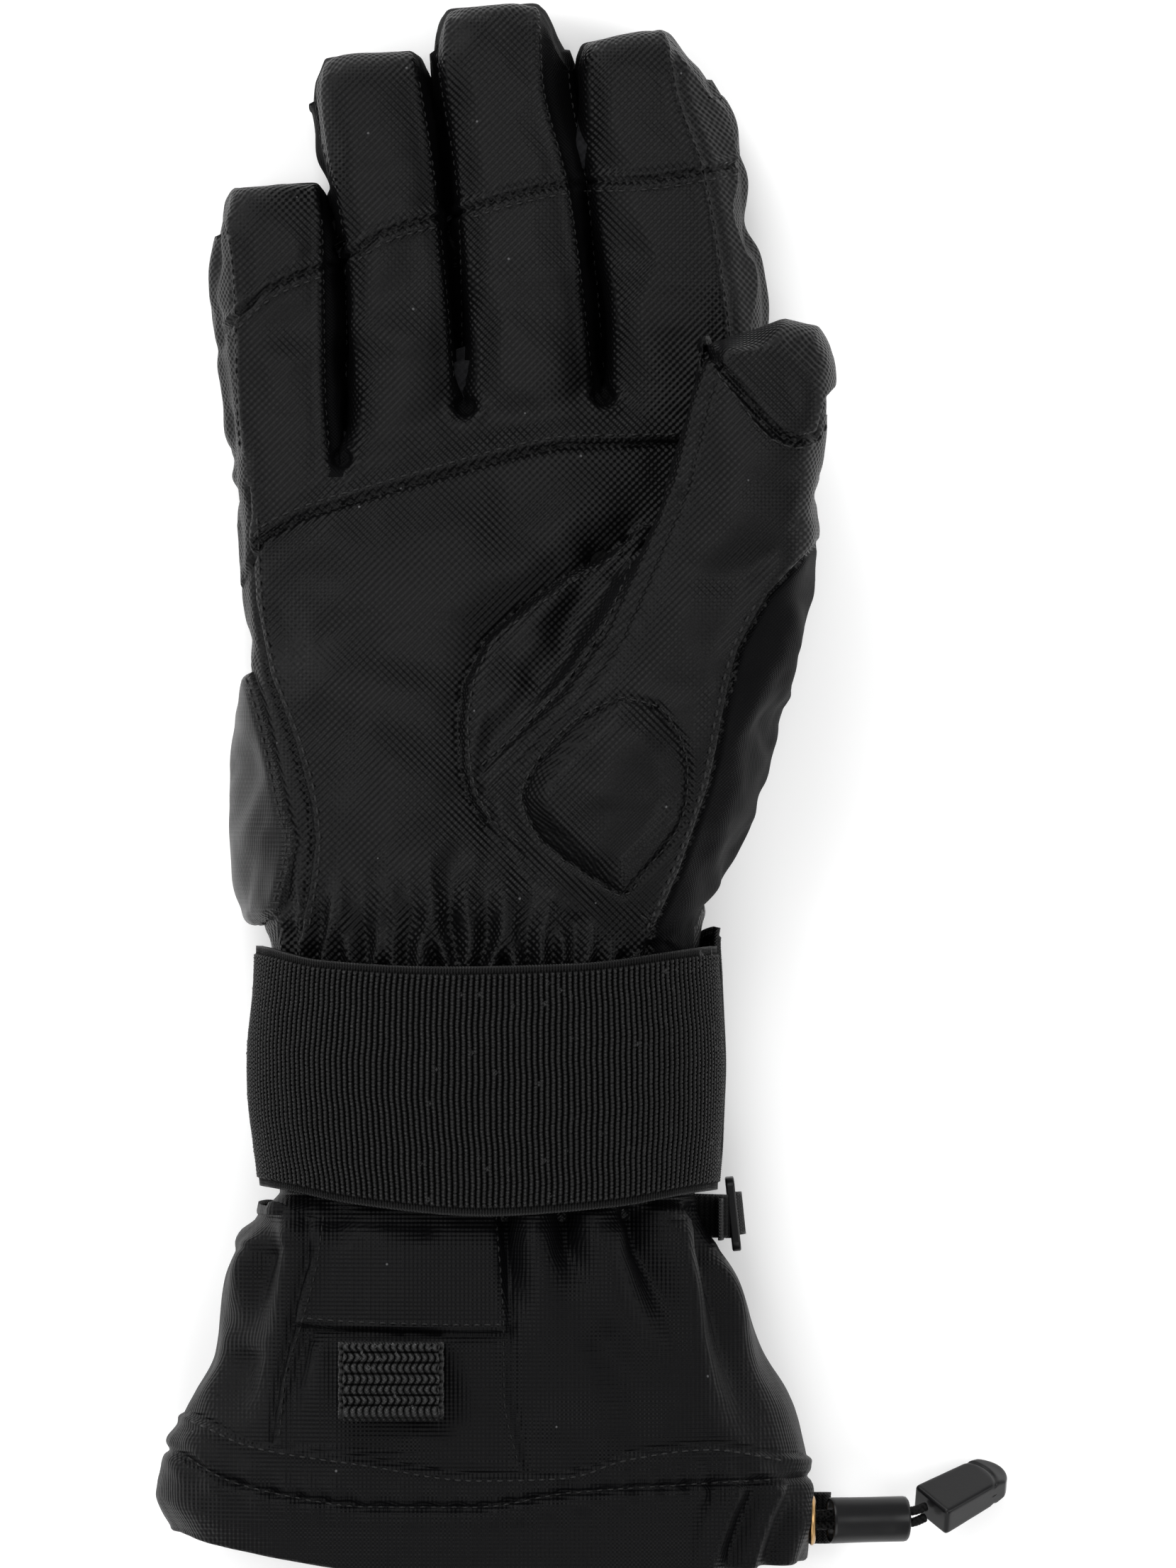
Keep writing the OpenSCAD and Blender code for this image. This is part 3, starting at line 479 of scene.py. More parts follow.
def plastic(name, base, rough, spec=0.4, scale=1500, bump=0.15, metallic=0.0):
    m, nt, bsdf = new_mat(name)
    tc = nd(nt, "ShaderNodeTexCoord")
    no = nd(nt, "ShaderNodeTexNoise")
    no.inputs["Scale"].default_value = scale
    no.inputs["Detail"].default_value = 4
    nt.links.new(tc.outputs["Object"], no.inputs["Vector"])
    big = nd(nt, "ShaderNodeTexNoise")
    big.inputs["Scale"].default_value = 160
    big.inputs["Detail"].default_value = 5
    nt.links.new(tc.outputs["Object"], big.inputs["Vector"])
    bp = nd(nt, "ShaderNodeBump")
    bp.inputs["Strength"].default_value = bump
    bp.inputs["Distance"].default_value = 0.00008
    nt.links.new(no.outputs[0], bp.inputs["Height"])
    nt.links.new(bp.outputs[0], bsdf.inputs["Normal"])
    mix = nd(nt, "ShaderNodeMix", data_type="RGBA")
    nt.links.new(big.outputs[0], mix.inputs[0])
    mix.inputs[6].default_value = (*[c * 0.75 for c in base], 1)
    mix.inputs[7].default_value = (*[c * 1.3 for c in base], 1)
    nt.links.new(mix.outputs[2], bsdf.inputs["Base Color"])
    ro = mth(nt, "ADD", mth(nt, "MULTIPLY", big.outputs[0], 0.2), rough - 0.1)
    nt.links.new(ro, bsdf.inputs["Roughness"])
    bsdf.inputs["Specular IOR Level"].default_value = spec
    bsdf.inputs["Metallic"].default_value = metallic
    return m


M = {
    "palm_fabric": fabric("palm_canvas", (0.0017, 0.0017, 0.0019), 0.4, "canvas", 1.05, 0.8, 0.125),
    "back_fabric": fabric("back_softshell", (0.0014, 0.0014, 0.0017), 0.6, "plain", 0.7, 0.6, 0.05, specks=False),
    "wall_fabric": fabric("finger_wall_cloth", (0.0012, 0.0012, 0.0014), 0.6, "plain", 0.7, 0.6, 0.04, specks=False),
    "cuff_fabric": fabric("cuff_ripstop", (0.0013, 0.0013, 0.0016), 0.45, "ripstop", 0.85, 0.85, 0.09),
    "pad_rubber": fabric("side_pad_ribbed", (0.0026, 0.0026, 0.0028), 0.36, "rib", 0.9, 0.5, 0.19, specks=False),
    "wadding": fabric("wadding_felt", (0.004, 0.004, 0.004), 0.95, "plain", 1.6, 0.9, 0.1, specks=False),
    "lining": fabric("lining_fleece", (0.008, 0.008, 0.009), 0.9, "canvas", 1.3, 1.0, 0.1, 0.1, specks=False),
    "webbing": fabric("webbing_nylon", (0.0014, 0.0014, 0.0016), 0.36, "plain", 0.62, 0.6, 0.2, specks=False, crest_shine_gap_shade=True),
    "loop_webbing": fabric("loop_webbing_nylon", (0.0013, 0.0013, 0.0015), 0.3, "plain", 0.62, 0.6, 0.36, specks=False, crest_shine_gap_shade=True),
    "hook_loop": fabric("hook_and_loop", (0.003, 0.003, 0.003), 0.85, "canvas", 0.8, 1.0, 0.1, specks=False),
    "elastic": fabric("elastic_braid", (0.002, 0.002, 0.002), 0.6, "canvas", 0.9, 0.9, 0.12, specks=False),
    "thread": fabric("sewing_thread", (0.006, 0.006, 0.0062), 0.42, "plain", 0.3, 0.6, 0.25, specks=False),
    "thread_dark": fabric("sewing_thread_dark", (0.003, 0.003, 0.0032), 0.42, "plain", 0.3, 0.6, 0.2, specks=False),
    "thread_pale": fabric("sewing_thread_pale", (0.04, 0.04, 0.042), 0.42, "plain", 0.3, 0.6, 0.3, specks=False),
    "plastic": plastic("moulded_plastic", (0.0042, 0.0042, 0.0046), 0.32, 0.22),
    "brass": plastic("brass", (0.45, 0.28, 0.12), 0.34, 0.5, 900, 0.1, 1.0),
}


def finish_piece(ob, mat, body="glove_body", replaces=(), bend=None):
    Q_ = coords(ob)
    if Q_[:, 2].min() < 0.02:  # nothing reaches under the surface the glove lies on
        Q_[:, 2] = np.maximum(Q_[:, 2], 0.02)
        set_coords(ob, Q_)
    ob.data.materials.clear()
    ob.data.materials.append(M[mat])
    if bend:
        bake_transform(ob)
    else:
        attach(ob, body)
    if replaces:
        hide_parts(*replaces)
    return ob


BLENDS = {n: ((x * MM, (y - 13) * MM, z * MM), (x * MM, (y + 13) * MM, z * MM)) for n, (x, y, z) in BEND.items()}
_a = from_thumb(np.array([[0.0, 92 - 13, 54.2], [0.0, 92 + 13, 54.2]]))
BLENDS["thumb"] = (tuple(_a[0] * MM), tuple(_a[1] * MM))

# ------------------------------------------------------------------ skin of hand, fingers and thumb
def finger_shift(name, y):
    d, y0 = SPREAD[name]
    return d * smooth((y - y0) / 10.0)


def spread_loft(name):
    rows = FINGERS[name]

    def move(V):
        V = V.copy()
        V[:, 0] += finger_shift(name, V[:, 1])
        return V

    ys = sorted(r[0] for r in rows)
    return closed_loft(rows, ys[-1] - 0.1, ys[0] + 2, 0, 0.5, 72, 1.5, move)


def thumb_loft(off=0):
    return closed_loft(THUMB, 120.9, -9, off, 0.5, 72, 1.5, from_thumb)


SKIN_LOW = -41.0
parts = [closed_loft(HAND, 71.9, SKIN_LOW, 0, 0.4, 120, 1.5)] + [spread_loft(n) for n in FINGERS] + [thumb_loft()]
V, F = join_lofts(parts)
base = new_object("skin_base", V, F)
rm = base.modifiers.new("r", "REMESH")
rm.mode = "VOXEL"
rm.voxel_size = 0.0026
baked(base)
sm = base.modifiers.new("s", "SMOOTH")
sm.factor = 0.5
sm.iterations = 2
baked(base)


def thumb_ring_value(p, grow=0.0):
    """Under 1 inside the thumb's loft."""
    q = to_thumb(p)
    xl, xr, z0, z1, n, _, _ = row_at(THUMB, q[:, 1])
    cx, cz = (xl + xr) / 2, (z0 + z1) / 2
    a, b = (xr - xl) / 2 + grow, (z1 - z0) / 2 + grow
    v = (np.abs((q[:, 0] - cx) / a) ** n + np.abs((p[:, 2] - cz) / b) ** n) ** (1 / n)
    return np.where((q[:, 1] > -12) & (q[:, 1] < 123), v, 9)


def hand_ring_value(p):
    xl, xr, z0, z1, n, _, _ = row_at(HAND, p[:, 1])
    cx, cz = (xl + xr) / 2, z0 + 0.4 * (z1 - z0)
    a = (xr - xl) / 2
    b = np.where(p[:, 2] > cz, z1 - cz, cz - z0 + 2)
    v = (np.abs((p[:, 0] - cx) / a) ** n + np.abs((p[:, 2] - cz) / b) ** n) ** (1 / n)
    return np.where(p[:, 1] < 74, v, 9)


def classify(p):
    """For every point in spread space: is it thumb, and which finger (0 none, 1 index .. 4 little)."""
    tv = thumb_ring_value(p)
    hv = hand_ring_value(p)
    q = to_thumb(p)
    on_thumb = (tv < 1.12) & ((hv > 1.0) | (tv < 1.02)) & (p[:, 2] > 8) & (q[:, 1] < 123) & ((p[:, 2] > 36) | (q[:, 1] < 56))
    on_thumb &= (hv > 0.985) | (p[:, 2] > 40)
    fid = np.zeros(len(p), int)
    names = list(FINGERS)
    y = p[:, 1]
    lim = []
    for a, b in zip(names[:-1], names[1:]):
        la = row_at(FINGERS[a], y)[0] + finger_shift(a, y)
        rb = row_at(FINGERS[b], y)[1] + finger_shift(b, y)
        lim.append((la + rb) / 2)
    k = 1 + (p[:, 0] < lim[0]).astype(int) + (p[:, 0] < lim[1]) + (p[:, 0] < lim[2])
    k = np.where(p[:, 0] < lim[2], 4, np.where(p[:, 0] < lim[1], 3, np.where(p[:, 0] < lim[0], 2, 1)))
    fid = np.where((y > 56) & ~(on_thumb & (p[:, 2] > 36)), k, 0)
    return on_thumb, fid


def unspread(p, fid):
    out = p.copy()
    for i, n in enumerate(FINGERS):
        m = fid == i + 1
        out[m, 0] -= finger_shift(n, p[m, 1])
    return out


def near_seams(p, nrm, on_thumb, fid, reach):
    """Share of each point that is held by a seam."""
    w = np.zeros(len(p))
    up = nrm[:, 2] > 0.15
    q = unspread(p, fid)
    palm = up & ~on_thumb

    def hold(mask, poly, r=reach):
        d, _, _ = poly_dist(q, poly)
        w[:] = np.maximum(w, np.where(mask, smooth(1.6 - d / r), 0))

    for poly in (PALM_SEAM, THENAR_EDGE, SIDE_SEAM, PAD_EDGE):
        hold(palm & (q[:, 1] < 75), poly)
    for poly in (THUMB_LEFT, THUMB_RIGHT, THENAR_PAD + THENAR_PAD[:1], THUMB_TIP):
        hold(up & on_thumb, poly)
    for i, n in enumerate(FINGERS):
        m = (fid == i + 1) & (nrm[:, 2] > -0.2) & (q[:, 2] > 18)
        hold(m, TIP_SEAMS[n])
        hold(m, LEFT_EDGE[n])
        hold(m, RIGHT_EDGE[n])
    return w


P0 = coords(base)
N0 = normals(base)
TH0, FID0 = classify(P0)
hold = near_seams(P0, N0, TH0, FID0, 2.2)
hold = np.maximum(hold, smooth((2.2 - P0[:, 2]) / 1.0))
hold = np.maximum(hold, smooth((-27 - P0[:, 1]) / 6.0))
P1 = P0.copy()
vg = base.vertex_groups.new(name="held")
for i in np.nonzero(hold > 0.02)[0]:
    vg.add([int(i)], float(min(1, hold[i])), "REPLACE")
cl = base.modifiers.new("c", "CLOTH")
st = cl.settings
st.quality = 5
st.mass = 0.25
st.tension_stiffness = 14
st.compression_stiffness = 14
st.shear_stiffness = 6
st.bending_stiffness = 0.25
st.tension_damping = 8
st.compression_damping = 8
st.shear_damping = 6
st.air_damping = 2
st.use_pressure = True
st.uniform_pressure_force = 3.4
st.shrink_min = -0.045
st.shrink_max = -0.045
st.vertex_group_mass = "held"
st.pin_stiffness = 1
st.effector_weights.gravity = 0
cl.collision_settings.use_collision = False
for f in range(1, 19):
    scene.frame_set(f)
dg = bpy.context.evaluated_depsgraph_get()
ev = base.evaluated_get(dg)
co = np.zeros(len(ev.data.vertices) * 3)
ev.data.vertices.foreach_get("co", co)
P1 = co.reshape(-1, 3) / MM
base.modifiers.clear()
scene.frame_set(1)
d = P1 - P0
L = np.linalg.norm(d, axis=1)
cap = np.where(FID0 > 0, 1.9, 2.6) * (1 - 0.5 * smooth((P0[:, 1] - 120) / 20))
d *= (np.minimum(L, cap) / np.maximum(L, 1e-9))[:, None]
P1 = P0 + d
print("cloth moved", round(float(L.mean()), 2), "mm on average,", round(float(L.max()), 2), "at most")

P1 = unspread(P1, FID0)
# The thumb's underside comes down to the palm.
Q = to_thumb(P1)
drop = 4.0 * smooth((Q[:, 1] - 58) / 12) * np.clip((60 - P1[:, 2]) / 20, 0, 1)
P1[:, 2] -= np.where(TH0 & (Q[:, 1] > 56), drop, 0)
P1[:, 2] = np.maximum(P1[:, 2], 0.02)

# Small wrinkles are eased out, and the ball of the thumb is made to run up into the thumb.
edges = np.zeros(len(base.data.edges) * 2, int)
base.data.edges.foreach_get("vertices", edges)
edges = edges.reshape(-1, 2)
deg = np.bincount(edges.ravel(), minlength=len(P1)).astype(float)


def ease(co, weight, times):
    co = co.copy()
    for _ in range(times):
        acc = np.zeros_like(co)
        np.add.at(acc, edges[:, 0], co[edges[:, 1]])
        np.add.at(acc, edges[:, 1], co[edges[:, 0]])
        co += (acc / deg[:, None] - co) * (0.6 * weight)[:, None]
    return co


UPW = smooth((N0[:, 2] + 0.1) / 0.4)
P1 = ease(P1, 0.75 * UPW * smooth((160 - P0[:, 1]) / 20), 3)
BALL = THENAR_EDGE + [[38, 62], [42, 58], [36, 30], [30, 8], [31.5, -30]]
in_ball = inside(P1, BALL) & (P1[:, 2] > 22)
db, _, _ = poly_dist(P1, THUMB_LEFT)
P1 = ease(P1, np.where(in_ball, 0.9, 0) * smooth((14 - db) / 8), 14)

P1[:, 2] = np.maximum(P1[:, 2], 0.02)
set_coords(base, P1)
# The same cloth, opened at the wrist and at two finer levels.
for nm, vals in (("fid", FID0.astype(float)), ("thumb", TH0.astype(float))):
    at = base.data.attributes.new(nm, "FLOAT", "POINT")
    at.data.foreach_set("value", vals)
bm = bmesh.new()
bm.from_mesh(base.data)
bmesh.ops.delete(bm, geom=[v for v in bm.verts if v.co.y < (SKIN_LOW + 1.6) * MM], context="VERTS")
bm.to_mesh(base.data)
bm.free()
coarse = base.data.copy()


def attr(ob, name):
    a = np.zeros(len(ob.data.vertices))
    ob.data.attributes[name].data.foreach_get("value", a)
    return a


ss = base.modifiers.new("s", "SUBSURF")
ss.levels = ss.render_levels = 2
baked(base)
P = coords(base)
FIDF = attr(base, "fid")
THF = attr(base, "thumb")
FID = np.round(FIDF).astype(int)
TH = THF > 0.5


def finger_cut(p, fid):
    """The palm-side edge of each finger slopes away outside its seam, so that the wall shows beside it."""
    out = p.copy()
    for i, n in enumerate(FINGERS):
        m = (fid == i + 1) & (p[:, 1] > 60)
        y = p[m, 1]
        z = p[m, 2].copy()
        top = row_at(FINGERS[n], y)[3]
        zt = top + 0.2
        fade = smooth((y - (66 if n == "little" else 78)) / 12)
        xr = curve_x(RIGHT_EDGE[n], y)
        xl = curve_x(LEFT_EDGE[n], y)
        over_r = np.maximum(p[m, 0] - xr, 0)
        over_l = np.maximum(xl - p[m, 0], 0)
        slope_r = 1.5 if n != "index" else 1.15
        lower = np.minimum(np.maximum(zt - over_r * slope_r, 10), np.maximum(zt - over_l * 2.4, 10))
        z = np.where(z > 10, z + fade * (np.minimum(z, lower) - z), z)
        out[m, 2] = z
    return out


def snap(mask, poly, reach, closed=False):
    """Vertices next to a seam are moved onto its line, so that it runs clean."""
    poly = np.array(poly + poly[:1] if closed else poly, float)
    best = np.full(len(P), 1e9)
    near = P[:, :2].copy()
    for a_, b_ in zip(poly[:-1], poly[1:]):
        d_ = b_ - a_
        t_ = ((P[:, :2] - a_) @ d_) / (d_ @ d_)
        t_c = np.clip(t_, 0, 1)
        q_ = a_ + t_c[:, None] * d_
        r_ = np.hypot(*(P[:, :2] - q_).T)
        m_ = r_ < best
        best[m_] = r_[m_]
        near[m_] = q_[m_]
    m = mask & (best < reach)
    P[m, :2] = near[m]


# Outlines of the finger ends seen from the palm side: a flat end with small corners, then the wall sloping away.
ENDS = {
    "index": [[15.2, 143], [15.3, 147], [17, 149.6], [33, 152.4], [35.2, 151.6], [41.3, 145], [46, 137.5], [49.9, 128.4]],
    "middle": [[-12.9, 149], [-12.2, 153.6], [-9.9, 156.8], [8.2, 157.9], [10, 156.4], [13.2, 150.5], [14.8, 146]],
    "ring": [[-37.3, 139], [-36.6, 144], [-34.8, 147], [-17.3, 148.3], [-15.2, 146.9], [-13.3, 144], [-12.6, 139]],
    "little": [[-56, 112], [-55.3, 117.6], [-53.2, 120.5], [-36.2, 121.7], [-34.3, 119.8], [-32.9, 115.5], [-32.4, 111]],
}
THUMB_END = [[-14.4, 102], [-13.6, 107.4], [-6.5, 113.4], [0.6, 119.3], [7.6, 120], [10.6, 118.2], [13.6, 112], [15.4, 103]]


def square_end(x, y, mask, outline, reach, cut=-3.0):
    """How far each point moves along y so that the end fills its outline."""
    out = np.zeros(len(x))
    o = np.array(outline, float)
    xb = np.linspace(o[0, 0], o[-1, 0], 40)
    have = np.full(40, np.nan)
    for k, v in enumerate(xb):
        near = mask & (np.abs(x - v) < 0.8)
        if near.any():
            have[k] = y[near].max()
    ok = ~np.isnan(have)
    have = np.interp(xb, xb[ok], have[ok])
    for _ in range(2):
        have[1:-1] = (have[:-2] + 2 * have[1:-1] + have[2:]) / 4
    want = np.interp(xb, o[:, 0], o[:, 1])
    move_ = np.clip(want - have, cut, 6.0)
    far = have.max()
    m = mask & (y > far - reach)
    w = smooth((y[m] - (np.interp(x[m], xb, have) - reach * 0.8)) / (reach * 0.75))
    out[m] = np.interp(x[m], xb, move_) * w
    return out


for i, n in enumerate(FINGERS):
    if n == "index":  # its outer side runs straight down to the thumb
        wide = P[:, 0] - curve_x(RIGHT_EDGE[n], P[:, 1])
        P[:, 0] -= np.where(FID == 1, 1.7 * smooth(wide / 7) * smooth((P[:, 1] - 100) / 20), 0)
    P[:, 1] += square_end(P[:, 0], P[:, 1], FID == i + 1, ENDS[n], 14.0)
Q = to_thumb(P)
dy = square_end(Q[:, 0], Q[:, 1], TH & (Q[:, 1] > 60), THUMB_END, 18.0, -9.0)
P[:, 0] += dy * math.sin(-TURN)
P[:, 1] += dy * math.cos(TURN)

set_coords(base, P)
NV = normals(base)
SNAP = 0.3
facing = NV[:, 2] > 0.45
for poly in (PALM_SEAM, THENAR_EDGE, SIDE_SEAM):
    snap(facing & ~TH & (P[:, 1] < 76), poly, SNAP)
snap(facing & TH, THENAR_PAD, SNAP, True)
snap(facing & TH, THUMB_RIGHT, SNAP)
snap(facing & TH, THUMB_LEFT, SNAP)
snap(facing & TH, THUMB_TIP, SNAP)
for i, n in enumerate(FINGERS):
    on_f = facing & (FID == i + 1) & (P[:, 2] > 18)
    snap(on_f, TIP_SEAMS[n], SNAP)
    snap(on_f & (P[:, 1] > 70), LEFT_EDGE[n], SNAP)
    snap(on_f & (P[:, 1] > 70), RIGHT_EDGE[n], SNAP)
P = finger_cut(P, FID)
set_coords(base, P)
NV = normals(base)
up = smooth((NV[:, 2] - 0.0) / 0.5)
D = np.zeros(len(P))


def seam(mask, poly, raised, groove, width=1.3, spread=4.5, side_up=1, closed=False):
    """A sewn line: a narrow groove, with the cloth standing up beside it on one side and lying lower on the other."""
    global D
    poly = poly + poly[:1] if closed else poly
    d, s, _ = poly_dist(P, poly)
    sd = d * s * side_up
    g = -1.15 * groove * np.exp(-((sd + 0.05) ** 2) / (2 * (width * 0.3) ** 2))
    r = raised * np.where(sd > 0, smooth(sd / width) * (1 - smooth((sd - width) / spread)), 0)
    D += mask * (g + r)


palm = up * (1 - THF)
body_y = (P[:, 1] < 78)
seam(palm * body_y, PALM_SEAM, 1.1, 0.9, 1.2, 5.0, 1)
seam(palm * (P[:, 1] < 56), THENAR_EDGE, 1.2, 1.0, 1.2, 6.0, -1)
seam(smooth((NV[:, 2] + 0.5) / 0.5) * (1 - THF) * (P[:, 1] < 60), SIDE_SEAM, 0.7, 0.9, 1.2, 4.0, 1)
# The ribbed pad on the little finger's side.
pad_in = inside(P, PAD_EDGE + [[-80, -29], [-80, 26]]) & (P[:, 2] > 5) & (TH == False)
dpad, _, _ = poly_dist(P, PAD_EDGE)
zpad = smooth((P[:, 2] - 5) / 2.5)
D += np.where(pad_in, (0.9 * smooth(dpad / 1.6) - 0.9 * smooth((11 - np.abs(P[:, 1] - 2)) / 30)) * zpad, -0.7 * np.exp(-((dpad) ** 2) / 1.2) * (P[:, 2] > 6) * (P[:, 1] < 30) * (1 - THF))
# Finger edges and walls.
row_top = {n: max(r[0] for r in FINGERS[n]) for n in FINGERS}
for i, n in enumerate(FINGERS):
    on = (FID == i + 1) & (P[:, 1] > (62 if n == "little" else 76))
    y = P[:, 1]
    top = row_at(FINGERS[n], y)[3]
    fade = smooth((y - (64 if n == "little" else 78)) / 6) * on
    for poly, sgn in ((LEFT_EDGE[n], 1), (RIGHT_EDGE[n], -1)):
        xe = curve_x(poly, y)
        dx = (P[:, 0] - xe) * sgn
        near_top = smooth((P[:, 2] - (top - 5)) / 3)
        D += fade * near_top * 0.55 * np.exp(-((dx - 0.5) ** 2) / (2 * 0.7**2))
        D += -fade * 0.6 * np.exp(-((dx + 1.2) ** 2) / (2 * 0.7**2)) * smooth((P[:, 2] - (top - 7)) / 3)
    wall = smooth((0.75 - np.abs(NV[:, 2])) / 0.4) * smooth((P[:, 2] - 6) / 3) * smooth((top - 3 - P[:, 2]) / 3)
    D += -0.4 * wall * fade * smooth((P[:, 2] - 14) / 4)
    # lower down the fingers press against each other
    D += 0.9 * fade * smooth((0.75 - np.abs(NV[:, 2])) / 0.4) * smooth((P[:, 2] - 4) / 3) * smooth((17 - P[:, 2]) / 4) * (P[:, 1] < row_top[n] - 10)
    # The welt where the tip patch starts, and the crease below it.
    d, s, _ = poly_dist(P, TIP_SEAMS[n])
    sd = d * s
    frontish = smooth((P[:, 2] - 17) / 4) * on
    D += frontish * (0.75 * np.exp(-((sd - 0.9) ** 2) / (2 * 0.7**2)) - 1.0 * np.exp(-((sd + 0.1) ** 2) / (2 * 0.38**2)) + 0.45 * np.exp(-((sd + 1.2) ** 2) / (2 * 0.6**2)))
    D += frontish * 0.35 * smooth((sd - 1) / 5)
# Rounded bottoms of the gaps between the fingers, with a sewn rim.
for cx0, cy0 in CROTCH:
    r = np.hypot(P[:, 0] - cx0, P[:, 1] - cy0)
    low_half = smooth((cy0 + 4 - P[:, 1]) / 5)
    onp = palm * (P[:, 2] > 12)
    D += onp * (0.6 * np.exp(-((r - 3.6) ** 2) / (2 * 0.7**2)) * low_half - 1.2 * smooth((2.4 - r) / 1.4) * smooth((NV[:, 2] - 0.4) / 0.3))
CT_Y = to_thumb(P)[:, 1]
# Thumb: doubled left fold, right seam, puffed pad, tip patch.
tup = up * THF
d, s, _ = poly_dist(P, THUMB_LEFT)
sd = -d * s
D += tup * (0.35 + 0.65 * smooth((P[:, 1] - 8) / 30)) * (1.1 * np.exp(-((sd - 1.1) ** 2) / (2 * 0.8**2)) - 1.3 * np.exp(-(sd**2) / (2 * 0.4**2)) + 0.9 * np.exp(-((sd + 1.6) ** 2) / (2 * 0.8**2)) - 0.6 * np.exp(-((sd + 3.2) ** 2) / (2 * 0.5**2)))
seam(smooth((NV[:, 2] + 0.2) / 0.5) * THF, THUMB_RIGHT, 0.9, 1.0, 1.2, 5.0, 1)
pin = inside(P, THENAR_PAD)
dp, _, _ = poly_dist(P, THENAR_PAD + THENAR_PAD[:1])
D += tup * np.where(pin, 2.2 * smooth(dp / 7.0) + 0.25, 0) - tup * 0.9 * np.exp(-(dp**2) / (2 * 0.55**2))
d, s, _ = poly_dist(P, THUMB_TIP)
sd = d * s
D += THF * (CT_Y > 60) * smooth((NV[:, 2] + 0.3) / 0.5) * (1.5 * smooth(sd / 0.8) * (1 - smooth((sd - 1.5) / 9)) - 1.3 * np.exp(-((sd + 0.35) ** 2) / (2 * 0.5**2)))
# Gathers above the wrist elastic.
x, y = P[:, 0], P[:, 1]
gy = smooth((-6 - y) / 22.0)
side_w = smooth((x + 47) / 6) * smooth((36 - x) / 5)
in_pad = np.where(pad_in, 0.0, 1.0)
# ridge: x at the strap, sideways lean upwards, height of its upper end, how far it stands up, half width
RIDGES = [(-43, -0.10, -16, 1.2, 1.6), (-38.5, -0.02, -8, 1.8, 1.7), (-33.6, 0.06, -14, 2.2, 1.5), (-29.6, -0.10, -4, 1.7, 1.9), (-24.6, 0.14, -17, 2.5, 1.5),
          (-20.4, -0.04, -10, 2.0, 1.8), (-14.8, 0.10, -3, 2.3, 2.0), (-10.2, -0.16, -19, 2.4, 1.4), (-6.0, 0.05, -11, 2.3, 1.9), (-0.6, 0.18, -15, 2.5, 1.6),
          (4.0, -0.12, -18, 2.2, 1.7), (8.8, 0.16, -17, 2.4, 1.6), (13.2, -0.08, -21, 2.0, 1.6), (18.2, 0.12, -20, 2.1, 1.9), (23.4, 0.05, -23, 1.8, 1.6), (28.2, 0.1, -24, 1.6, 1.7), (33.5, 0.0, -24, 1.2, 1.6)]


def ridges(x, y):
    h = np.full(len(x), -0.8) * smooth((-14 - y) / 16)
    for x0, lean, top_y, amp, wid in RIDGES:
        rise = np.clip((top_y - y) / (top_y + 36.0), 0, 1.15)
        xr = x0 + lean * (y + 36) + 0.5 * np.sin(y * 0.35 + x0)
        u = np.abs(x - xr) / (wid * (1.35 - 0.45 * rise))
        h = h + amp * smooth(rise) * (np.exp(-u * u * 0.9) * 0.85 + np.clip(1 - u * 1.4, 0, 1) * 0.35)
        h = h - 0.55 * smooth(rise) * amp * np.exp(-((u - 1.9) ** 2) * 1.6) * 0.5
    return h


D += palm * in_pad * 0.95 * ridges(x, y) * side_w * (y < -2)
D += palm * in_pad * 0.35 * noise(P * [1, 0.35, 1], 9, 5) * smooth((0 - y) / 15)
# The back and side cloth by the thumb is softer and wrinkled.
side_back = smooth((P[:, 0] - 38) / 8) * smooth((44 - P[:, 1]) / 10) * (1 - up * 0.4)
wr = noise(P * [0.8, 1.3, 0.8], 22, 8)
D += side_back * 1.1 * wr
D += smooth((-NV[:, 2] + 0.2) / 0.5) * smooth((P[:, 2] - 1.5) / 2) * 0.5 * noise(P, 16, 3)
# Slight unevenness everywhere.
D += (0.26 - 0.16 * up) * noise(P, 24, 11) * smooth((P[:, 2] - 1.5) / 3)
# The middle and index fingers rest against each other.
for gx, gy, run in ((18.0, 116.5, 7.0), (16.6, 126.0, 7.0)):
    D += 0.95 * np.abs(NV[:, 0]) * np.exp(-(((P[:, 0] - gx) / 4.0) ** 2) - ((P[:, 1] - gy) / run) ** 2) * smooth((P[:, 2] - 3) / 4)
# The ball of the thumb stands up from the palm like a cushion, with one valley across it.
ball = inside(P, THENAR_EDGE + [[30, 55], [35, 60], [31, 52], [27.5, 43.5], [22, 31], [13.5, 19], [-4.5, 1.5], [9, -14.5], [31.5, -30]])
de, _, _ = poly_dist(P, THENAR_EDGE)
dl, _, _ = poly_dist(P, [[38, 58], [27.5, 43.5], [22, 31], [13.5, 19], [-4.5, 1.5], [-3.5, -4], [9, -14.5], [20, -21], [31.5, -30]])
D += up * (P[:, 2] > 24) * np.where(ball & (P[:, 1] < 52), (1.9 * smooth(de / 5.0) + 0.9 * np.exp(-((P[:, 0] - 1.0) ** 2 + (P[:, 1] - 18) ** 2) / 60)) * smooth((dl - 1) / 6), 0)
D += palm * np.where(ball, 0, -0.9 * np.exp(-(de**2) / 14)) * (P[:, 1] < 54)
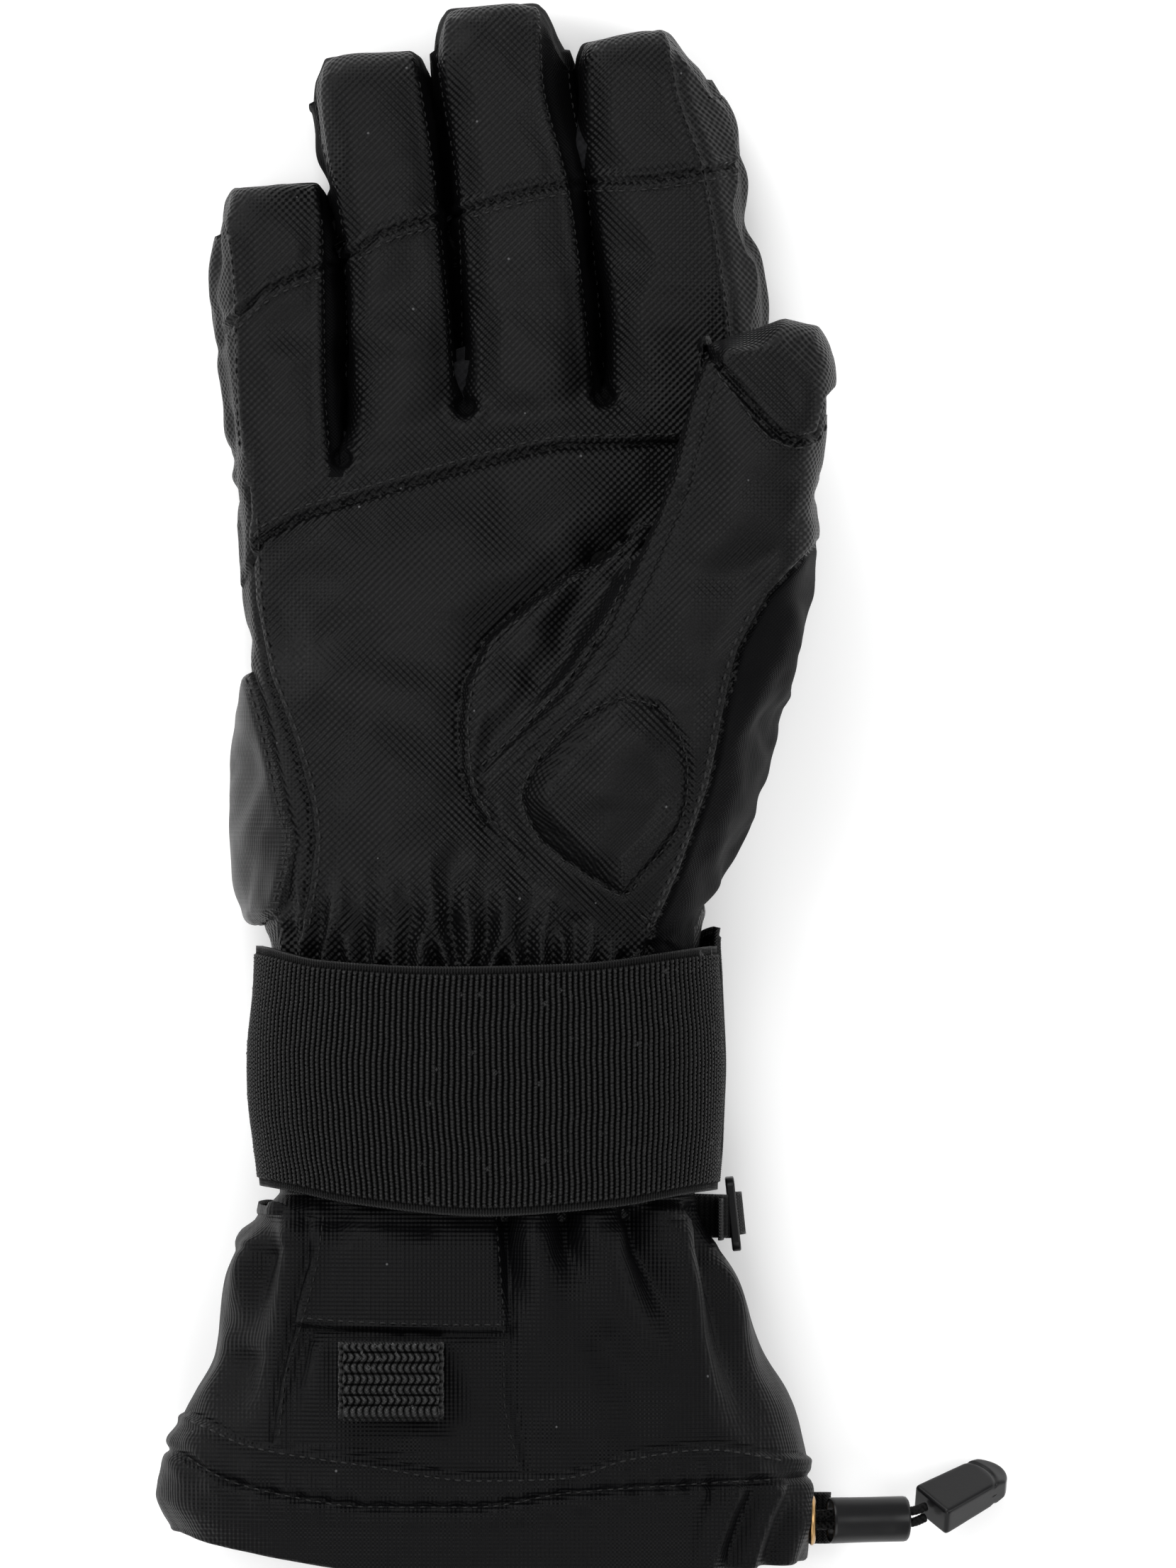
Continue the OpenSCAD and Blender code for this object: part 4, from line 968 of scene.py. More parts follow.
# Long soft creases where the palm bends, and across the thumb's ball.
for cx0, cy0, cx1, cy1, amp, wid in ((-30, 92, -14, 88, 0.5, 2.2), (-2, 100, 16, 104, 0.5, 2.2), (3, 92, 14, 82, 0.7, 2.6), (25, 104, 44, 100, 0.45, 2.2), (-50, 84, -38, 86, 0.4, 2.0)):
    d, _, _ = poly_dist(P, [[cx0, cy0], [cx1, cy1]])
    D += palm * amp * np.exp(-(d**2) / (2 * wid**2)) * (FID > 0)
for poly, amp, wid in (([[20.5, 45.5], [14, 31.3], [12.7, 26.3], [7.7, 21.3]], -2.0, 2.2), ([[17, 43], [12, 37], [8, 31]], 1.0, 3.0)):
    d, _, _ = poly_dist(P, poly)
    D += up * (P[:, 2] > 30) * amp * np.exp(-(d**2) / (2 * wid**2))
P = P + NV * D[:, None]
P[:, 2] = np.maximum(P[:, 2], 0.02)
set_coords(base, P)

# Split into the panels that are sewn together.
QF = quads(base)
C = P[QF].mean(1)
NF = NV[QF].mean(1)
F_id = np.round(FIDF[QF].mean(1)).astype(int)
F_th = THF[QF].mean(1) > 0.5
labels = np.empty(len(QF), object)
labels[:] = "palm_panel_lower"
CT = to_thumb(C)


def above(poly):
    return C[:, 1] > curve_y(poly, C[:, 0])


front = C[:, 2] > 24.5
back = C[:, 2] <= 6
labels[back & ~F_th] = "hand_back_panel"
side_mid = ~front & ~back & ~F_th
labels[side_mid & (C[:, 0] < 0)] = "little_side_panel"
labels[side_mid & (C[:, 0] >= 0)] = "index_side_panel"
labels[front & ~F_th & above(PALM_SEAM)] = "palm_panel_upper"
labels[inside(C, PAD_EDGE + [[-80, -29], [-80, 26]]) & ~back & ~F_th] = "hypothenar_pad"
thenar = THENAR_EDGE + [[29, 48.5], [27.5, 43.5], [22, 31], [13.5, 19], [-4.5, 1.5], [-3.5, -4], [9, -14.5], [20, -21]]
labels[inside(C, thenar) & front] = "thenar_panel"
right_of = inside(C, THUMB_RIGHT + [[90, 49.5], [90, -45], [31.5, -45]])
labels[right_of & ~back & ((C[:, 2] > 30) | F_th)] = "thumb_back_panel"
tf = inside(C, [[60, 95]] + THUMB_LEFT + [[-3.5, -4.2], [9, -14.8], [20, -21.5]] + THUMB_RIGHT + [[80, 55], [80, 95]]) & F_th & (NF[:, 2] > -0.3)
labels[tf] = "thumb_front_panel"
labels[F_th & ~tf] = "thumb_back_panel"
t_left = F_th & ~tf & (CT[:, 0] < 2) & (C[:, 2] > 20)
labels[t_left] = "thumb_left_side"
labels[(t_left | (F_th & ~tf & (C[:, 0] < 30) & (C[:, 2] > 20))) & inside(C, THENAR_EDGE + [[33, 56], [30, 40], [31.5, -30]])] = "thenar_panel"
labels[F_th & ~tf & (C[:, 2] > 20) & (C[:, 1] < 12) & (C[:, 0] < 32) & (labels == "thumb_back_panel")] = "thenar_panel"
labels[inside(C, THENAR_PAD) & F_th & (NF[:, 2] > 0)] = "thenar_pad"
labels[F_th & (CT[:, 1] > 70) & (NF[:, 2] <= -0.3)] = "thumb_end_back"
t_tip = poly_dist(C, THUMB_TIP)
tip_in = F_th & (CT[:, 1] > 85) & (t_tip[1] > 0)
labels[F_th & (CT[:, 1] > 70) & (labels == "thumb_front_panel")] = "thumb_front_top"
labels[F_th & (CT[:, 1] > 70) & (labels == "thumb_back_panel")] = "thumb_end_back"
labels[F_th & (CT[:, 1] > 70) & (labels == "thumb_left_side")] = "thumb_front_top"
labels[tip_in & (NF[:, 2] > -0.4)] = "thumb_tip_patch"
pair = {1: "fourchette_middle_index", 2: "fourchette_ring_middle", 3: "fourchette_little_ring"}
for i, n in enumerate(FINGERS):
    by = BEND[n][1]
    on = F_id == i + 1
    xe_l, xe_r = curve_x(LEFT_EDGE[n], C[:, 1]), curve_x(RIGHT_EDGE[n], C[:, 1])
    frontal = on & (C[:, 0] > xe_l - 0.4) & (C[:, 0] < xe_r + 0.4) & (C[:, 2] > 20) & (NF[:, 2] > 0.1)
    far = on & (C[:, 1] > by - 17)
    mid = row_at(FINGERS[n], C[:, 1])
    cx = (mid[0] + mid[1]) / 2
    walls = on & ~frontal & (C[:, 1] > (62 if n == "little" else 76)) & (C[:, 2] > 6)
    left = walls & (C[:, 0] < cx)
    right = walls & (C[:, 0] >= cx)
    labels[left] = pair[i + 1] if i < 3 else "little_side_panel"
    labels[right] = pair[i] if i > 0 else "index_side_panel"
    labels[frontal & (C[:, 1] > 70)] = "palm_panel_upper"
    labels[far & (C[:, 2] <= 6)] = n + "_end_back"
    labels[far & (C[:, 2] > 6) & ~frontal] = n + "_end_back"
    if n == "index":
        labels[far & (C[:, 2] > 6) & ~frontal & (C[:, 0] >= cx)] = "index_side"
    if n == "little":
        labels[far & (C[:, 2] > 6) & ~frontal & (C[:, 0] < cx)] = "little_side"
    _, ts, _ = poly_dist(C, TIP_SEAMS[n])
    labels[far & frontal] = n + "_front"
    labels[far & frontal & (ts > 0)] = n + "_tip_patch"
for (cx0, cy0), nm in zip(CROTCH, ("fourchette_little_ring", "fourchette_ring_middle", "fourchette_middle_index")):
    labels[(np.hypot(C[:, 0] - cx0, C[:, 1] - cy0) < 2.3) & (C[:, 2] > 10) & ~F_th] = nm


def take(label, name):
    idx = np.nonzero(labels == label)[0]
    if len(idx) == 0:
        print("no faces for", label)
        return None
    f = QF[idx]
    used, inv = np.unique(f, return_inverse=True)
    ob = new_object(name, P[used], inv.reshape(-1, 4))
    ob.data.polygons.foreach_set("use_smooth", [True] * len(ob.data.polygons))
    at = ob.data.attributes.new("nrm", "FLOAT_VECTOR", "POINT")
    return ob


NVF = None
set_coords(base, P)
NVF = normals(base)


def piece_from(label, name, mat, replaces=(), bend=None):
    if not (labels == label).any():
        return None
    ob = take(label, name)
    at = ob.data.attributes["nrm"]
    ob.data.attributes.remove(at)
    idx = np.nonzero(labels == label)[0]
    used = np.unique(QF[idx])
    # The whole cloth's own normals, so that the shading runs on over each seam.
    ob.data.normals_split_custom_set_from_vertices([tuple(v) for v in NVF[used]])
    return finish_piece(ob, mat, replaces=replaces, bend=bend)


WALL = "back_fabric"
piece_from("palm_panel_lower", "palm_panel_lower_cloth", "palm_fabric", ["palm_panel_lower"])
piece_from("palm_panel_upper", "palm_panel_upper_cloth", "palm_fabric", ["palm_panel_upper"])
piece_from("hand_back_panel", "hand_back_panel_cloth", "back_fabric", ["hand_back_panel"])
piece_from("little_side_panel", "little_side_panel_cloth", "palm_fabric", ["little_side_panel"])
piece_from("index_side_panel", "index_side_panel_cloth", "palm_fabric", ["index_side_panel"])
for n in ("fourchette_middle_index", "fourchette_ring_middle", "fourchette_little_ring"):
    piece_from(n, n + "_cloth", "wall_fabric", [n])
piece_from("hypothenar_pad", "hypothenar_pad_cloth", "pad_rubber", ["hypothenar_pad"])
piece_from("thenar_panel", "thenar_panel_cloth", "palm_fabric", ["thenar_panel"])
piece_from("thumb_left_side", "thumb_left_side_cloth", "palm_fabric")
piece_from("thumb_front_panel", "thumb_front_panel_cloth", "palm_fabric", ["thumb_front_panel"])
piece_from("thumb_back_panel", "thumb_back_panel_cloth", "back_fabric", ["thumb_back_panel"])
piece_from("thenar_pad", "thenar_pad_cloth", "palm_fabric", ["thenar_pad"])
piece_from("thumb_front_top", "thumb_front_panel_top_cloth", "palm_fabric", bend="thumb")
piece_from("thumb_end_back", "thumb_end_back_cloth", "back_fabric", ["thumb_end_back"], "thumb")
piece_from("thumb_tip_patch", "thumb_tip_patch_cloth", "palm_fabric", ["thumb_tip_patch"], "thumb")
for n in FINGERS:
    piece_from(n + "_front", n + "_front_cloth", "palm_fabric", bend=n)
    piece_from(n + "_tip_patch", n + "_tip_patch_cloth", "palm_fabric", [n + "_tip_patch"], n)
    piece_from(n + "_side", n + "_end_side_cloth", "palm_fabric", bend=n)
    piece_from(n + "_end_back", n + "_end_back_cloth", "wall_fabric", [n + "_end_back"], n)

bm = bmesh.new()
bm.from_mesh(base.data)
BVH = BVHTree.FromBMesh(bm)
bm.free()
bpy.data.objects.remove(base)


# Wadding and lining follow the same cloth further in.
def layer(name, off, thick, mat, node_root, node_end):
    me = coarse.copy()
    ob = bpy.data.objects.new(name, me)
    scene.collection.objects.link(ob)
    p = finger_cut(coords(ob), np.round(attr(ob, "fid")).astype(int))
    set_coords(ob, p)
    s2 = ob.modifiers.new("s", "SMOOTH")
    s2.factor = 0.5
    s2.iterations = 3
    baked(ob)
    nn = normals(ob)
    p = coords(ob)
    outer = p - nn * off
    inner = p - nn * (off + thick)
    q = quads(ob)
    fi = np.round(attr(ob, "fid")).astype(int)
    th = attr(ob, "thumb") > 0.5
    qt = to_thumb(p)
    end_ = np.array(THUMB_END)
    for a_, gap in ((outer, 3.2), (inner, 3.2 + thick)):  # the thumb's end keeps inside its squared tip
        qa = to_thumb(a_)
        dy_ = np.where(th & (qa[:, 1] > 90), np.minimum(np.interp(qa[:, 0], end_[:, 0], end_[:, 1]) - gap - off * 0.5 - qa[:, 1], 0), 0)
        a_[:, 0] -= math.sin(TURN) * dy_
        a_[:, 1] += math.cos(TURN) * dy_
        a_[:, 2] -= 1.2 * smooth((qa[:, 1] - 96) / 10) * th
    fl = np.zeros(len(q), int)
    cc = p[q].mean(1)
    ff = fi[q].max(1)
    for i, n in enumerate(FINGERS):
        fl[(ff == i + 1) & (cc[:, 1] > BEND[n][1] - 15)] = i + 1
    fl[(th[q].mean(1) > 0.5) & (qt[q][:, :, 1].mean(1) > 76) & (cc[:, 2] > 36)] = 5
    for k in range(6):
        f = q[fl == k]
        used, inv = np.unique(f, return_inverse=True)
        f2 = inv.reshape(-1, 4)
        n_ = len(used)
        VV = np.vstack([outer[used], inner[used]])
        FF = [tuple(t) for t in f2] + [tuple((t + n_)[::-1]) for t in f2]
        e = np.concatenate([f2[:, [0, 1]], f2[:, [1, 2]], f2[:, [2, 3]], f2[:, [3, 0]]])
        key = {}
        for a, b in e:
            key[(a, b)] = True
        for a, b in e:
            if (b, a) not in key:
                FF.append((b, a, a + n_, b + n_))
        nm = ["hand", "index", "middle", "ring", "little", "thumb"][k]
        o = new_object(f"{nm}_{name}", VV, FF)
        if k == 0:
            finish_piece(o, mat, replaces=[node_root])
        else:
            finish_piece(o, mat, replaces=[f"{nm}_{node_end}"], bend=nm)
    bpy.data.objects.remove(ob)


layer("wadding_batt", 2.4, 2.6, "wadding", "hand_wadding", "end_wadding")
layer("lining_fleece", 5.5, 0.7, "lining", "hand_lining", "end_lining")


# ------------------------------------------------------------------ wrist sleeve, elastic, strap
def tube_surface(y_rows, nu, off, disp=None, wide=0.4, t0=0.0, t1=2 * math.pi, wrap=True):
    """Grid of points round the hand loft. y_rows is (nv,) or (nv, nu)."""
    t = t0 + (t1 - t0) * ((np.arange(nu) + 0.5) / nu if wrap else np.arange(nu) / (nu - 1))
    y = y_rows if y_rows.ndim == 2 else np.repeat(y_rows[:, None], nu, 1)
    P_ = ring(HAND, y, t[None, :], off, wide)
    nv = len(y)
    du = np.roll(P_, -1, 1) - np.roll(P_, 1, 1) if wrap else np.gradient(P_, axis=1)
    dv = np.gradient(P_, axis=0)
    N_ = np.cross(du, dv)
    N_ /= np.linalg.norm(N_, axis=2, keepdims=True) + 1e-9
    c = P_.mean((0, 1))
    if ((P_ - c) * N_).sum() < 0:
        N_ = -N_
    if disp is not None:
        P_ = P_ + N_ * disp(P_.reshape(-1, 3), N_.reshape(-1, 3)).reshape(nv, nu)[..., None]
    return P_, N_


def shell_object(name, P_, N_, thick, wrap, end_caps=True):
    """A closed sheet: the grid and its copy moved in by thick, joined at the edges."""
    nv, nu, _ = P_.shape
    A = P_.reshape(-1, 3)
    B = (P_ - N_ * thick).reshape(-1, 3)
    n_ = nv * nu
    f = grid_faces(nu, nv, wrap)
    # face direction outwards
    a, b, c = A[f[0][0]], A[f[0][1]], A[f[0][2]]
    if np.dot(np.cross(b - a, c - a), N_.reshape(-1, 3)[f[0][0]]) < 0:
        f = f[:, ::-1]
        flip = True
    else:
        flip = False
    FF = [tuple(q) for q in f] + [tuple((q + n_)[::-1]) for q in f]
    e = np.concatenate([f[:, [0, 1]], f[:, [1, 2]], f[:, [2, 3]], f[:, [3, 0]]])
    s = set(map(tuple, e.tolist()))
    for x, y in s:
        if (y, x) not in s:
            FF.append((y, x, x + n_, y + n_))
    return new_object(name, np.vstack([A, B]), FF)


def gathers(p, n):
    x, y = p[:, 0], p[:, 1]
    return -3.0 * smooth((-79 - y) / 5) + ridges(x, np.maximum(y, -38)) * 0.5 * smooth((y + 62) / 12) * smooth((n[:, 2] + 0.2) / 0.4) * smooth((x + 47) / 6) * smooth((40 - x) / 5)


ys = np.linspace(-36.5, -87.5, 50)
Pw, Nw = tube_surface(ys, 240, 0.7, gathers)
finish_piece(shell_object("wrist_sleeve_cloth", Pw, Nw, 0.8, True), "palm_fabric", replaces=["wrist_sleeve"])
ys = np.linspace(-33.2, -39.8, 12)
Pe, Ne = tube_surface(ys, 200, 1.7, lambda p, n: 0.12 * np.sin(p[:, 1] * 2 * math.pi / 1.6))
finish_piece(shell_object("wrist_elastic_braid", Pe, Ne, 0.5, True), "elastic", replaces=["wrist_elastic"])


def edge_rows(top, low, nv, nu, t, off):
    """Rows between two edge lines given over x."""
    y = np.full((nv, nu), -59.0)
    for _ in range(3):
        x = ring(HAND, y, t[None, :], off)[..., 0]
        yt = curve_y(top, x[0])
        yl = curve_y(low, x[-1])
        s = np.linspace(0, 1, nv)[:, None]
        y = yt[None, :] * (1 - s) + yl[None, :] * s
    return y


def z_angle(z, side, off, y=-58.0, wide=0.4):
    """Angle of the loft ring where it crosses height z on one side (+1 right, -1 left)."""
    t = np.linspace(-math.pi / 2, math.pi / 2, 4001)
    if side < 0:
        t = math.pi - t
    zz = ring(HAND, np.full(len(t), y), t, off, wide)[:, 2]
    return float(t[np.argmin(np.abs(zz - z))])


def webbing(name, t0, t1, nu, nv, off, thick, slot, node, body, ragged=None, top=STRAP_TOP):
    t = t0 + (t1 - t0) * np.arange(nu) / (nu - 1)
    y = edge_rows(top, STRAP_LOW, nv, nu, t, off)
    # even spacing along the strap
    P_ = ring(HAND, y, t[None, :], off)
    mid = P_[nv // 2]
    L = np.concatenate([[0], np.cumsum(np.linalg.norm(np.diff(mid, axis=0), axis=1))])
    t = np.interp(np.linspace(0, L[-1], nu), L, t)
    y = edge_rows(top, STRAP_LOW, nv, nu, t, off)
    P_ = ring(HAND, y, t[None, :], off)
    du, dv = np.gradient(P_, axis=1), np.gradient(P_, axis=0)
    N_ = np.cross(du, dv)
    N_ /= np.linalg.norm(N_, axis=2, keepdims=True)
    if N_[nv // 2, nu // 2] @ (P_[nv // 2, nu // 2] - np.array([0, -58, 26])) < 0:
        N_ = -N_
    u = np.linspace(0, L[-1], nu)[None, :]
    v = (P_[0][None, :, 1] - P_[..., 1])
    wob = 0.10 * np.sin(v * 0.35 + u * 0.11) + 0.05 * np.sin(v * 0.9)
    k = np.abs(np.sin(math.pi * (u + wob) / 1.2)) ** 0.6
    row = np.floor((u + wob) / 1.2)
    knot = np.abs(np.sin(math.pi * (v / 0.82 + 0.5 * (row % 2)))) ** 0.7
    h = 0.8 * k * (0.45 + 0.55 * knot)
    edge = np.minimum(v, v[-1][None, :] - v)
    h = np.where(edge < 1.6, 0.16 + 0.12 * np.sin(math.pi * u / 0.6) ** 2, h)
    h += 0.35 * np.sin(u * 0.075 + 0.4) * smooth(edge / 10) + 0.25 * noise(P_.reshape(-1, 3), 40, 21).reshape(nv, nu)
    P_ = P_ + N_ * h[..., None]
    if ragged is not None:
        P_ = ragged(P_, u, v, L[-1])
    o = shell_object(name, P_, N_, thick, False)
    return finish_piece(o, "webbing", body, [node])


S_OFF = -3.2
t_root = z_angle(26, 1, S_OFF)
t_free = z_angle(23.0, -1, S_OFF)
if t_free < t_root:
    t_free += 2 * math.pi
NU, NV_ = ((600, 160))


def cut_end(P_, u, v, total):
    r = np.random.RandomState(4)
    jag = np.interp(v[:, -1], np.linspace(0, 60, 50), r.uniform(-0.5, 0.5, 50))
    q = P_.copy()
    q[:, -1, 2] += jag
    q[:, -1, 0] += 0.4 * jag
    return q


webbing("wrist_strap_webbing", t_root, t_free, NU, NV_, S_OFF, 1.25, "webbing", "wrist_strap", "strap", cut_end)
t_b0 = z_angle(24.4, 1, S_OFF)
t_b1 = z_angle(9.8, -1, S_OFF)
while t_b1 > t_b0:
    t_b1 -= 2 * math.pi
webbing("strap_back_band", t_b1, t_b0, NU, NV_, S_OFF, 1.25, "webbing", "strap_back_webbing", "glove_body", top=[[-80, -32.5], [-48.6, -33.7], [0, -34.5], [38, -33], [43, -29.8], [46, -28.8], [80, -28.6]])


def pile_patch(name, za, zb, ya, yb, off, thick, mat, node, body, seed, tall):
    t0, t1 = z_angle(za, -1, off), z_angle(zb, -1, off)
    nu, nv = ((110, 130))
    t = np.linspace(t0, t1, nu)
    y = np.repeat(np.linspace(ya, yb, nv)[:, None], nu, 1)
    P_ = ring(HAND, y, t[None, :], off)
    du, dv = np.gradient(P_, axis=1), np.gradient(P_, axis=0)
    N_ = np.cross(du, dv)
    N_ /= np.linalg.norm(N_, axis=2, keepdims=True)
    if N_[nv // 2, nu // 2, 0] > 0:
        N_ = -N_
    r = np.random.RandomState(seed).uniform(0, tall, (nv, nu))
    P_ = P_ + N_ * r[..., None]
    finish_piece(shell_object(name, P_, N_, thick, False), mat, body, [node])


pile_patch("strap_hook_tape", 14.2, 37.5, -38.4, -79.6, -1.35, 0.35, "hook_loop", "strap_hook_patch", "strap", 3, 0.35)
pile_patch("strap_loop_tape", 10.2, 41.5, -37.4, -80.6, -0.6, 0.5, "hook_loop", "strap_loop_patch", "glove_body", 7, 0.3)

# The ragged hooks that show along the strap's cut end.
rng = np.random.RandomState(12)
tf_mid = t_free
verts, faces = [], []
for k in range(150):
    y = rng.uniform(-80.5, -36)
    p = ring(HAND, np.array([y]), np.array([tf_mid]), S_OFF + rng.uniform(0, 1.4))[0]
    d = np.array([-0.35 + rng.uniform(-0.2, 0.2), rng.uniform(-0.5, 0.5), -0.8])
    d /= np.linalg.norm(d)
    L = rng.uniform(0.5, 1.1)
    r = rng.uniform(0.16, 0.3)
    s1 = np.cross(d, [0, 1, 0.2])
    s1 /= np.linalg.norm(s1)
    s2 = np.cross(d, s1)
    b0 = len(verts)
    for j, (dist, rr) in enumerate(((-0.3, r), (L * 0.5, r), (L, r * 0.6))):
        for a in range(5):
            an = 2 * math.pi * a / 5
            verts.append(p + d * dist + (s1 * math.cos(an) + s2 * math.sin(an)) * rr)
    for j in range(2):
        for a in range(5):
            faces.append((b0 + j * 5 + a, b0 + j * 5 + (a + 1) % 5, b0 + (j + 1) * 5 + (a + 1) % 5, b0 + (j + 1) * 5 + a))
    faces.append(tuple(b0 + 4 - a for a in range(5)))
    faces.append(tuple(b0 + 10 + a for a in range(5)))
finish_piece(new_object("strap_end_hooks", verts, faces), "hook_loop", "strap")

# ------------------------------------------------------------------ gauntlet
FOLDS = [  # line, height (minus is a crease), half width, how far it is drawn: on the palm side of the gauntlet
    ([[-47, -88], [-50, -95], [-52, -103], [-52, -112]], 2.6, 2.6),
    ([[-44.5, -88], [-46.5, -97], [-50, -108], [-55, -119]], -3.0, 2.0),
    ([[-39.5, -87], [-41.5, -97], [-45, -108], [-50, -116]], 2.2, 2.2),
    ([[1.8, -87], [2.8, -95], [3.8, -104], [4.2, -112]], -3.2, 1.5),
    ([[7, -87], [8.5, -97], [8.5, -112], [11, -127]], 2.6, 3.6),
    ([[14, -86.5], [14.8, -94], [17.5, -104]], -3.0, 1.8),
    ([[19.5, -86], [21.5, -96], [26, -110], [33, -126]], 2.6, 3.6),
    ([[27, -85], [29, -93], [33.5, -103], [41, -119]], -3.2, 2.1),
    ([[33.5, -85], [36.5, -96], [42, -112], [50, -131]], 3.0, 3.0),
    ([[39.5, -86], [42, -96], [45.5, -112], [49.5, -124], [55.5, -138]], -3.6, 1.8),
    ([[44, -90], [47.5, -100], [52, -114], [57, -128]], 2.2, 2.4),
    ([[-57, -112], [-60, -120], [-63, -128]], 2.0, 3.0),
    ([[-51, -116], [-53, -124], [-56, -129]], -1.8, 2.2),
    ([[-14, -86.5], [-15, -93]], -0.8, 2.0),
    ([[-26, -86.5], [-27.5, -92]], 0.8, 2.4),
    ([[-39, -112], [-41, -122], [-42.5, -131]], -1.4, 2.4),
    ([[-36, -114], [-37, -122], [-38, -131]], 1.0, 2.2),
    ([[-10, -113], [-4, -122], [1, -131]], 0.8, 3.0),
    ([[-16, -131], [-6, -134], [3, -137]], 0.8, 2.4),
    ([[22, -112], [28, -122], [33, -131]], -1.6, 3.0),
    ([[12, -128], [20, -131], [30, -131]], 1.2, 3.0),
]


def cuff_disp(p, n):
    upw = smooth((n[:, 2] + 0.25) / 0.5)
    inner = smooth((n[:, 2] - 0.12) / 0.4)
    d = np.zeros(len(p))
    for line, amp, wid in FOLDS:
        dist, _, run = poly_dist(p, line)
        total = float(np.hypot(*np.diff(np.array(line, float), axis=0).T).sum())
        t = run / total
        d += inner * 1.25 * amp * (1 - smooth((t - 0.3) / 0.7)) * np.exp(-(dist**2) / (2 * (wid * (0.9 + 0.9 * t)) ** 2))
    # the cloth comes out from under the strap at its full width
    yy = p[:, 1]
    out_top = np.interp(-yy, [82.5, 84, 86, 88, 91, 94], [0.8, 2.4, 5.0, 6.4, 2.8, 0])
    outw = out_top * smooth((-p[:, 0] - 30) / 12) * (p[:, 2] > 3) + 0.25 * out_top * smooth((p[:, 0] - 25) / 12)
    for line, grow in ((CUFF_LEFT, 1), (CUFF_RIGHT, -1)):
        dist, s, _ = poly_dist(p, line)
        sd = dist * s * grow
        d += upw * (-0.8 * np.exp(-((sd + 0.3) ** 2) / 0.5) + 0.6 * np.exp(-((sd - 1.3) ** 2) / 2.2))
    flap = inside(p, [[-36.2, -80], [-37.5, -96.5], [-40.3, -108.7], [-30, -109.5], [-18, -109.9], [-6, -110.1], [2.6, -110], [1.2, -96], [1.2, -80]])
    dist, _, _ = poly_dist(p, FLAP_EDGE)
    dsl, _, _ = poly_dist(p, CUFF_LEFT)
    dsr, _, _ = poly_dist(p, CUFF_RIGHT)
    d += np.where(flap, 1.0 * smooth(dist / 1.0) * (1 - 0.75 * smooth((dist - 3) / 12)) + 0.5 * np.exp(-((dist - 0.9) ** 2) / 0.6), 0) * upw * smooth((np.minimum(dsl, dsr) + 0.6) / 3.5)
    d += np.where(flap, 0, -0.5 * np.exp(-(dist**2) / 3.0)) * upw * inside(p, [[-42, -106], [4, -106], [4, -122], [-42, -122]])
    centre = inside(p, [[-39, -109], [2, -110], [3, -122], [6, -136], [-44.5, -132]])
    d += np.where(centre, -0.35, 0) * upw
    # the back and sides carry their own soft folds
    low = 1 - upw
    d += low * 1.0 * noise(p * [1.2, 0.4, 1.0], 36, 31) * smooth((p[:, 2] - 0.5) / 4) * smooth((-88 - p[:, 1]) / 8)
    d += 0.6 * noise(p * [1, 0.6, 1], 30, 41) + 0.08 * noise(p, 9, 43)
    # gathered where the strap draws it in
    ph = p[:, 0] * 2 * math.pi / 7.5 + 1.4 * np.sin(p[:, 0] * 0.21)
    d += (np.sin(ph) * 0.5) * smooth((p[:, 1] + 97) / 8) * np.where(flap, 0.2, 1)
    return d * (1 - 0.8 * smooth((p[:, 1] + 86.5) / 3)) + outw


def hem_y(x):
    return curve_y(HEM_SEAM, x)


nu, nv = ((640, 118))
tt = (np.arange(nu) + 0.5) / nu * 2 * math.pi
y = np.full((nv, nu), -110.0)
for _ in range(3):
    x = ring(HAND, y, tt[None, :], 0)[..., 0]
    bow = ring(HAND, y, tt[None, :], 0)[..., 1] - y
    lowest = hem_y(x[-1]) - bow[-1] - 0.6
    s = np.linspace(0, 1, nv)[:, None]
    y = -82.5 * (1 - s) + lowest[None, :] * s
Pg, Ng = tube_surface(y, nu, 0, cuff_disp)
Pg[..., 2] = np.maximum(Pg[..., 2], 0.02)
top_in = smooth((Pg[..., 1] + 90) / 4)  # tucked in under the strap
Pg = Pg - Ng * (top_in * 1.2)[..., None]
gf = grid_faces(nu, nv, True)
Cg = Pg.reshape(-1, 3)[gf].mean(1)
Ngf = Ng.reshape(-1, 3)[gf].mean(1)
lab = np.empty(len(gf), object)
lab[:] = "gauntlet_right_panel"
topside = (Cg[:, 2] > 20) & (Ngf[:, 2] > 0)
cl = curve_x(CUFF_LEFT + [[-46, -150]], Cg[:, 1])
cr = curve_x(CUFF_RIGHT + [[8, -150]], Cg[:, 1])
lab[Cg[:, 0] < -20] = "gauntlet_left_panel"
lab[topside & (Cg[:, 0] < cl)] = "gauntlet_left_panel"
lab[topside & (Cg[:, 0] >= cl) & (Cg[:, 0] <= cr)] = "gauntlet_centre_panel"
lab[topside & (Cg[:, 0] >= cl) & (Cg[:, 0] <= cr) & (Cg[:, 1] > curve_y(FLAP_EDGE, Cg[:, 0]))] = "gauntlet_flap_panel"
lab[topside & (Cg[:, 0] > cr)] = "gauntlet_right_panel"
lab[Cg[:, 2] < 6] = "gauntlet_back_panel"
GA = Pg.reshape(-1, 3)
GN = Ng.reshape(-1, 3)
a, b, c = GA[gf[0][0]], GA[gf[0][1]], GA[gf[0][2]]
if np.dot(np.cross(b - a, c - a), GN[gf[0][0]]) < 0:
    gf = gf[:, ::-1]
whole = new_object("cuff_whole", GA, [tuple(q) for q in gf])
gnorm = normals(whole)
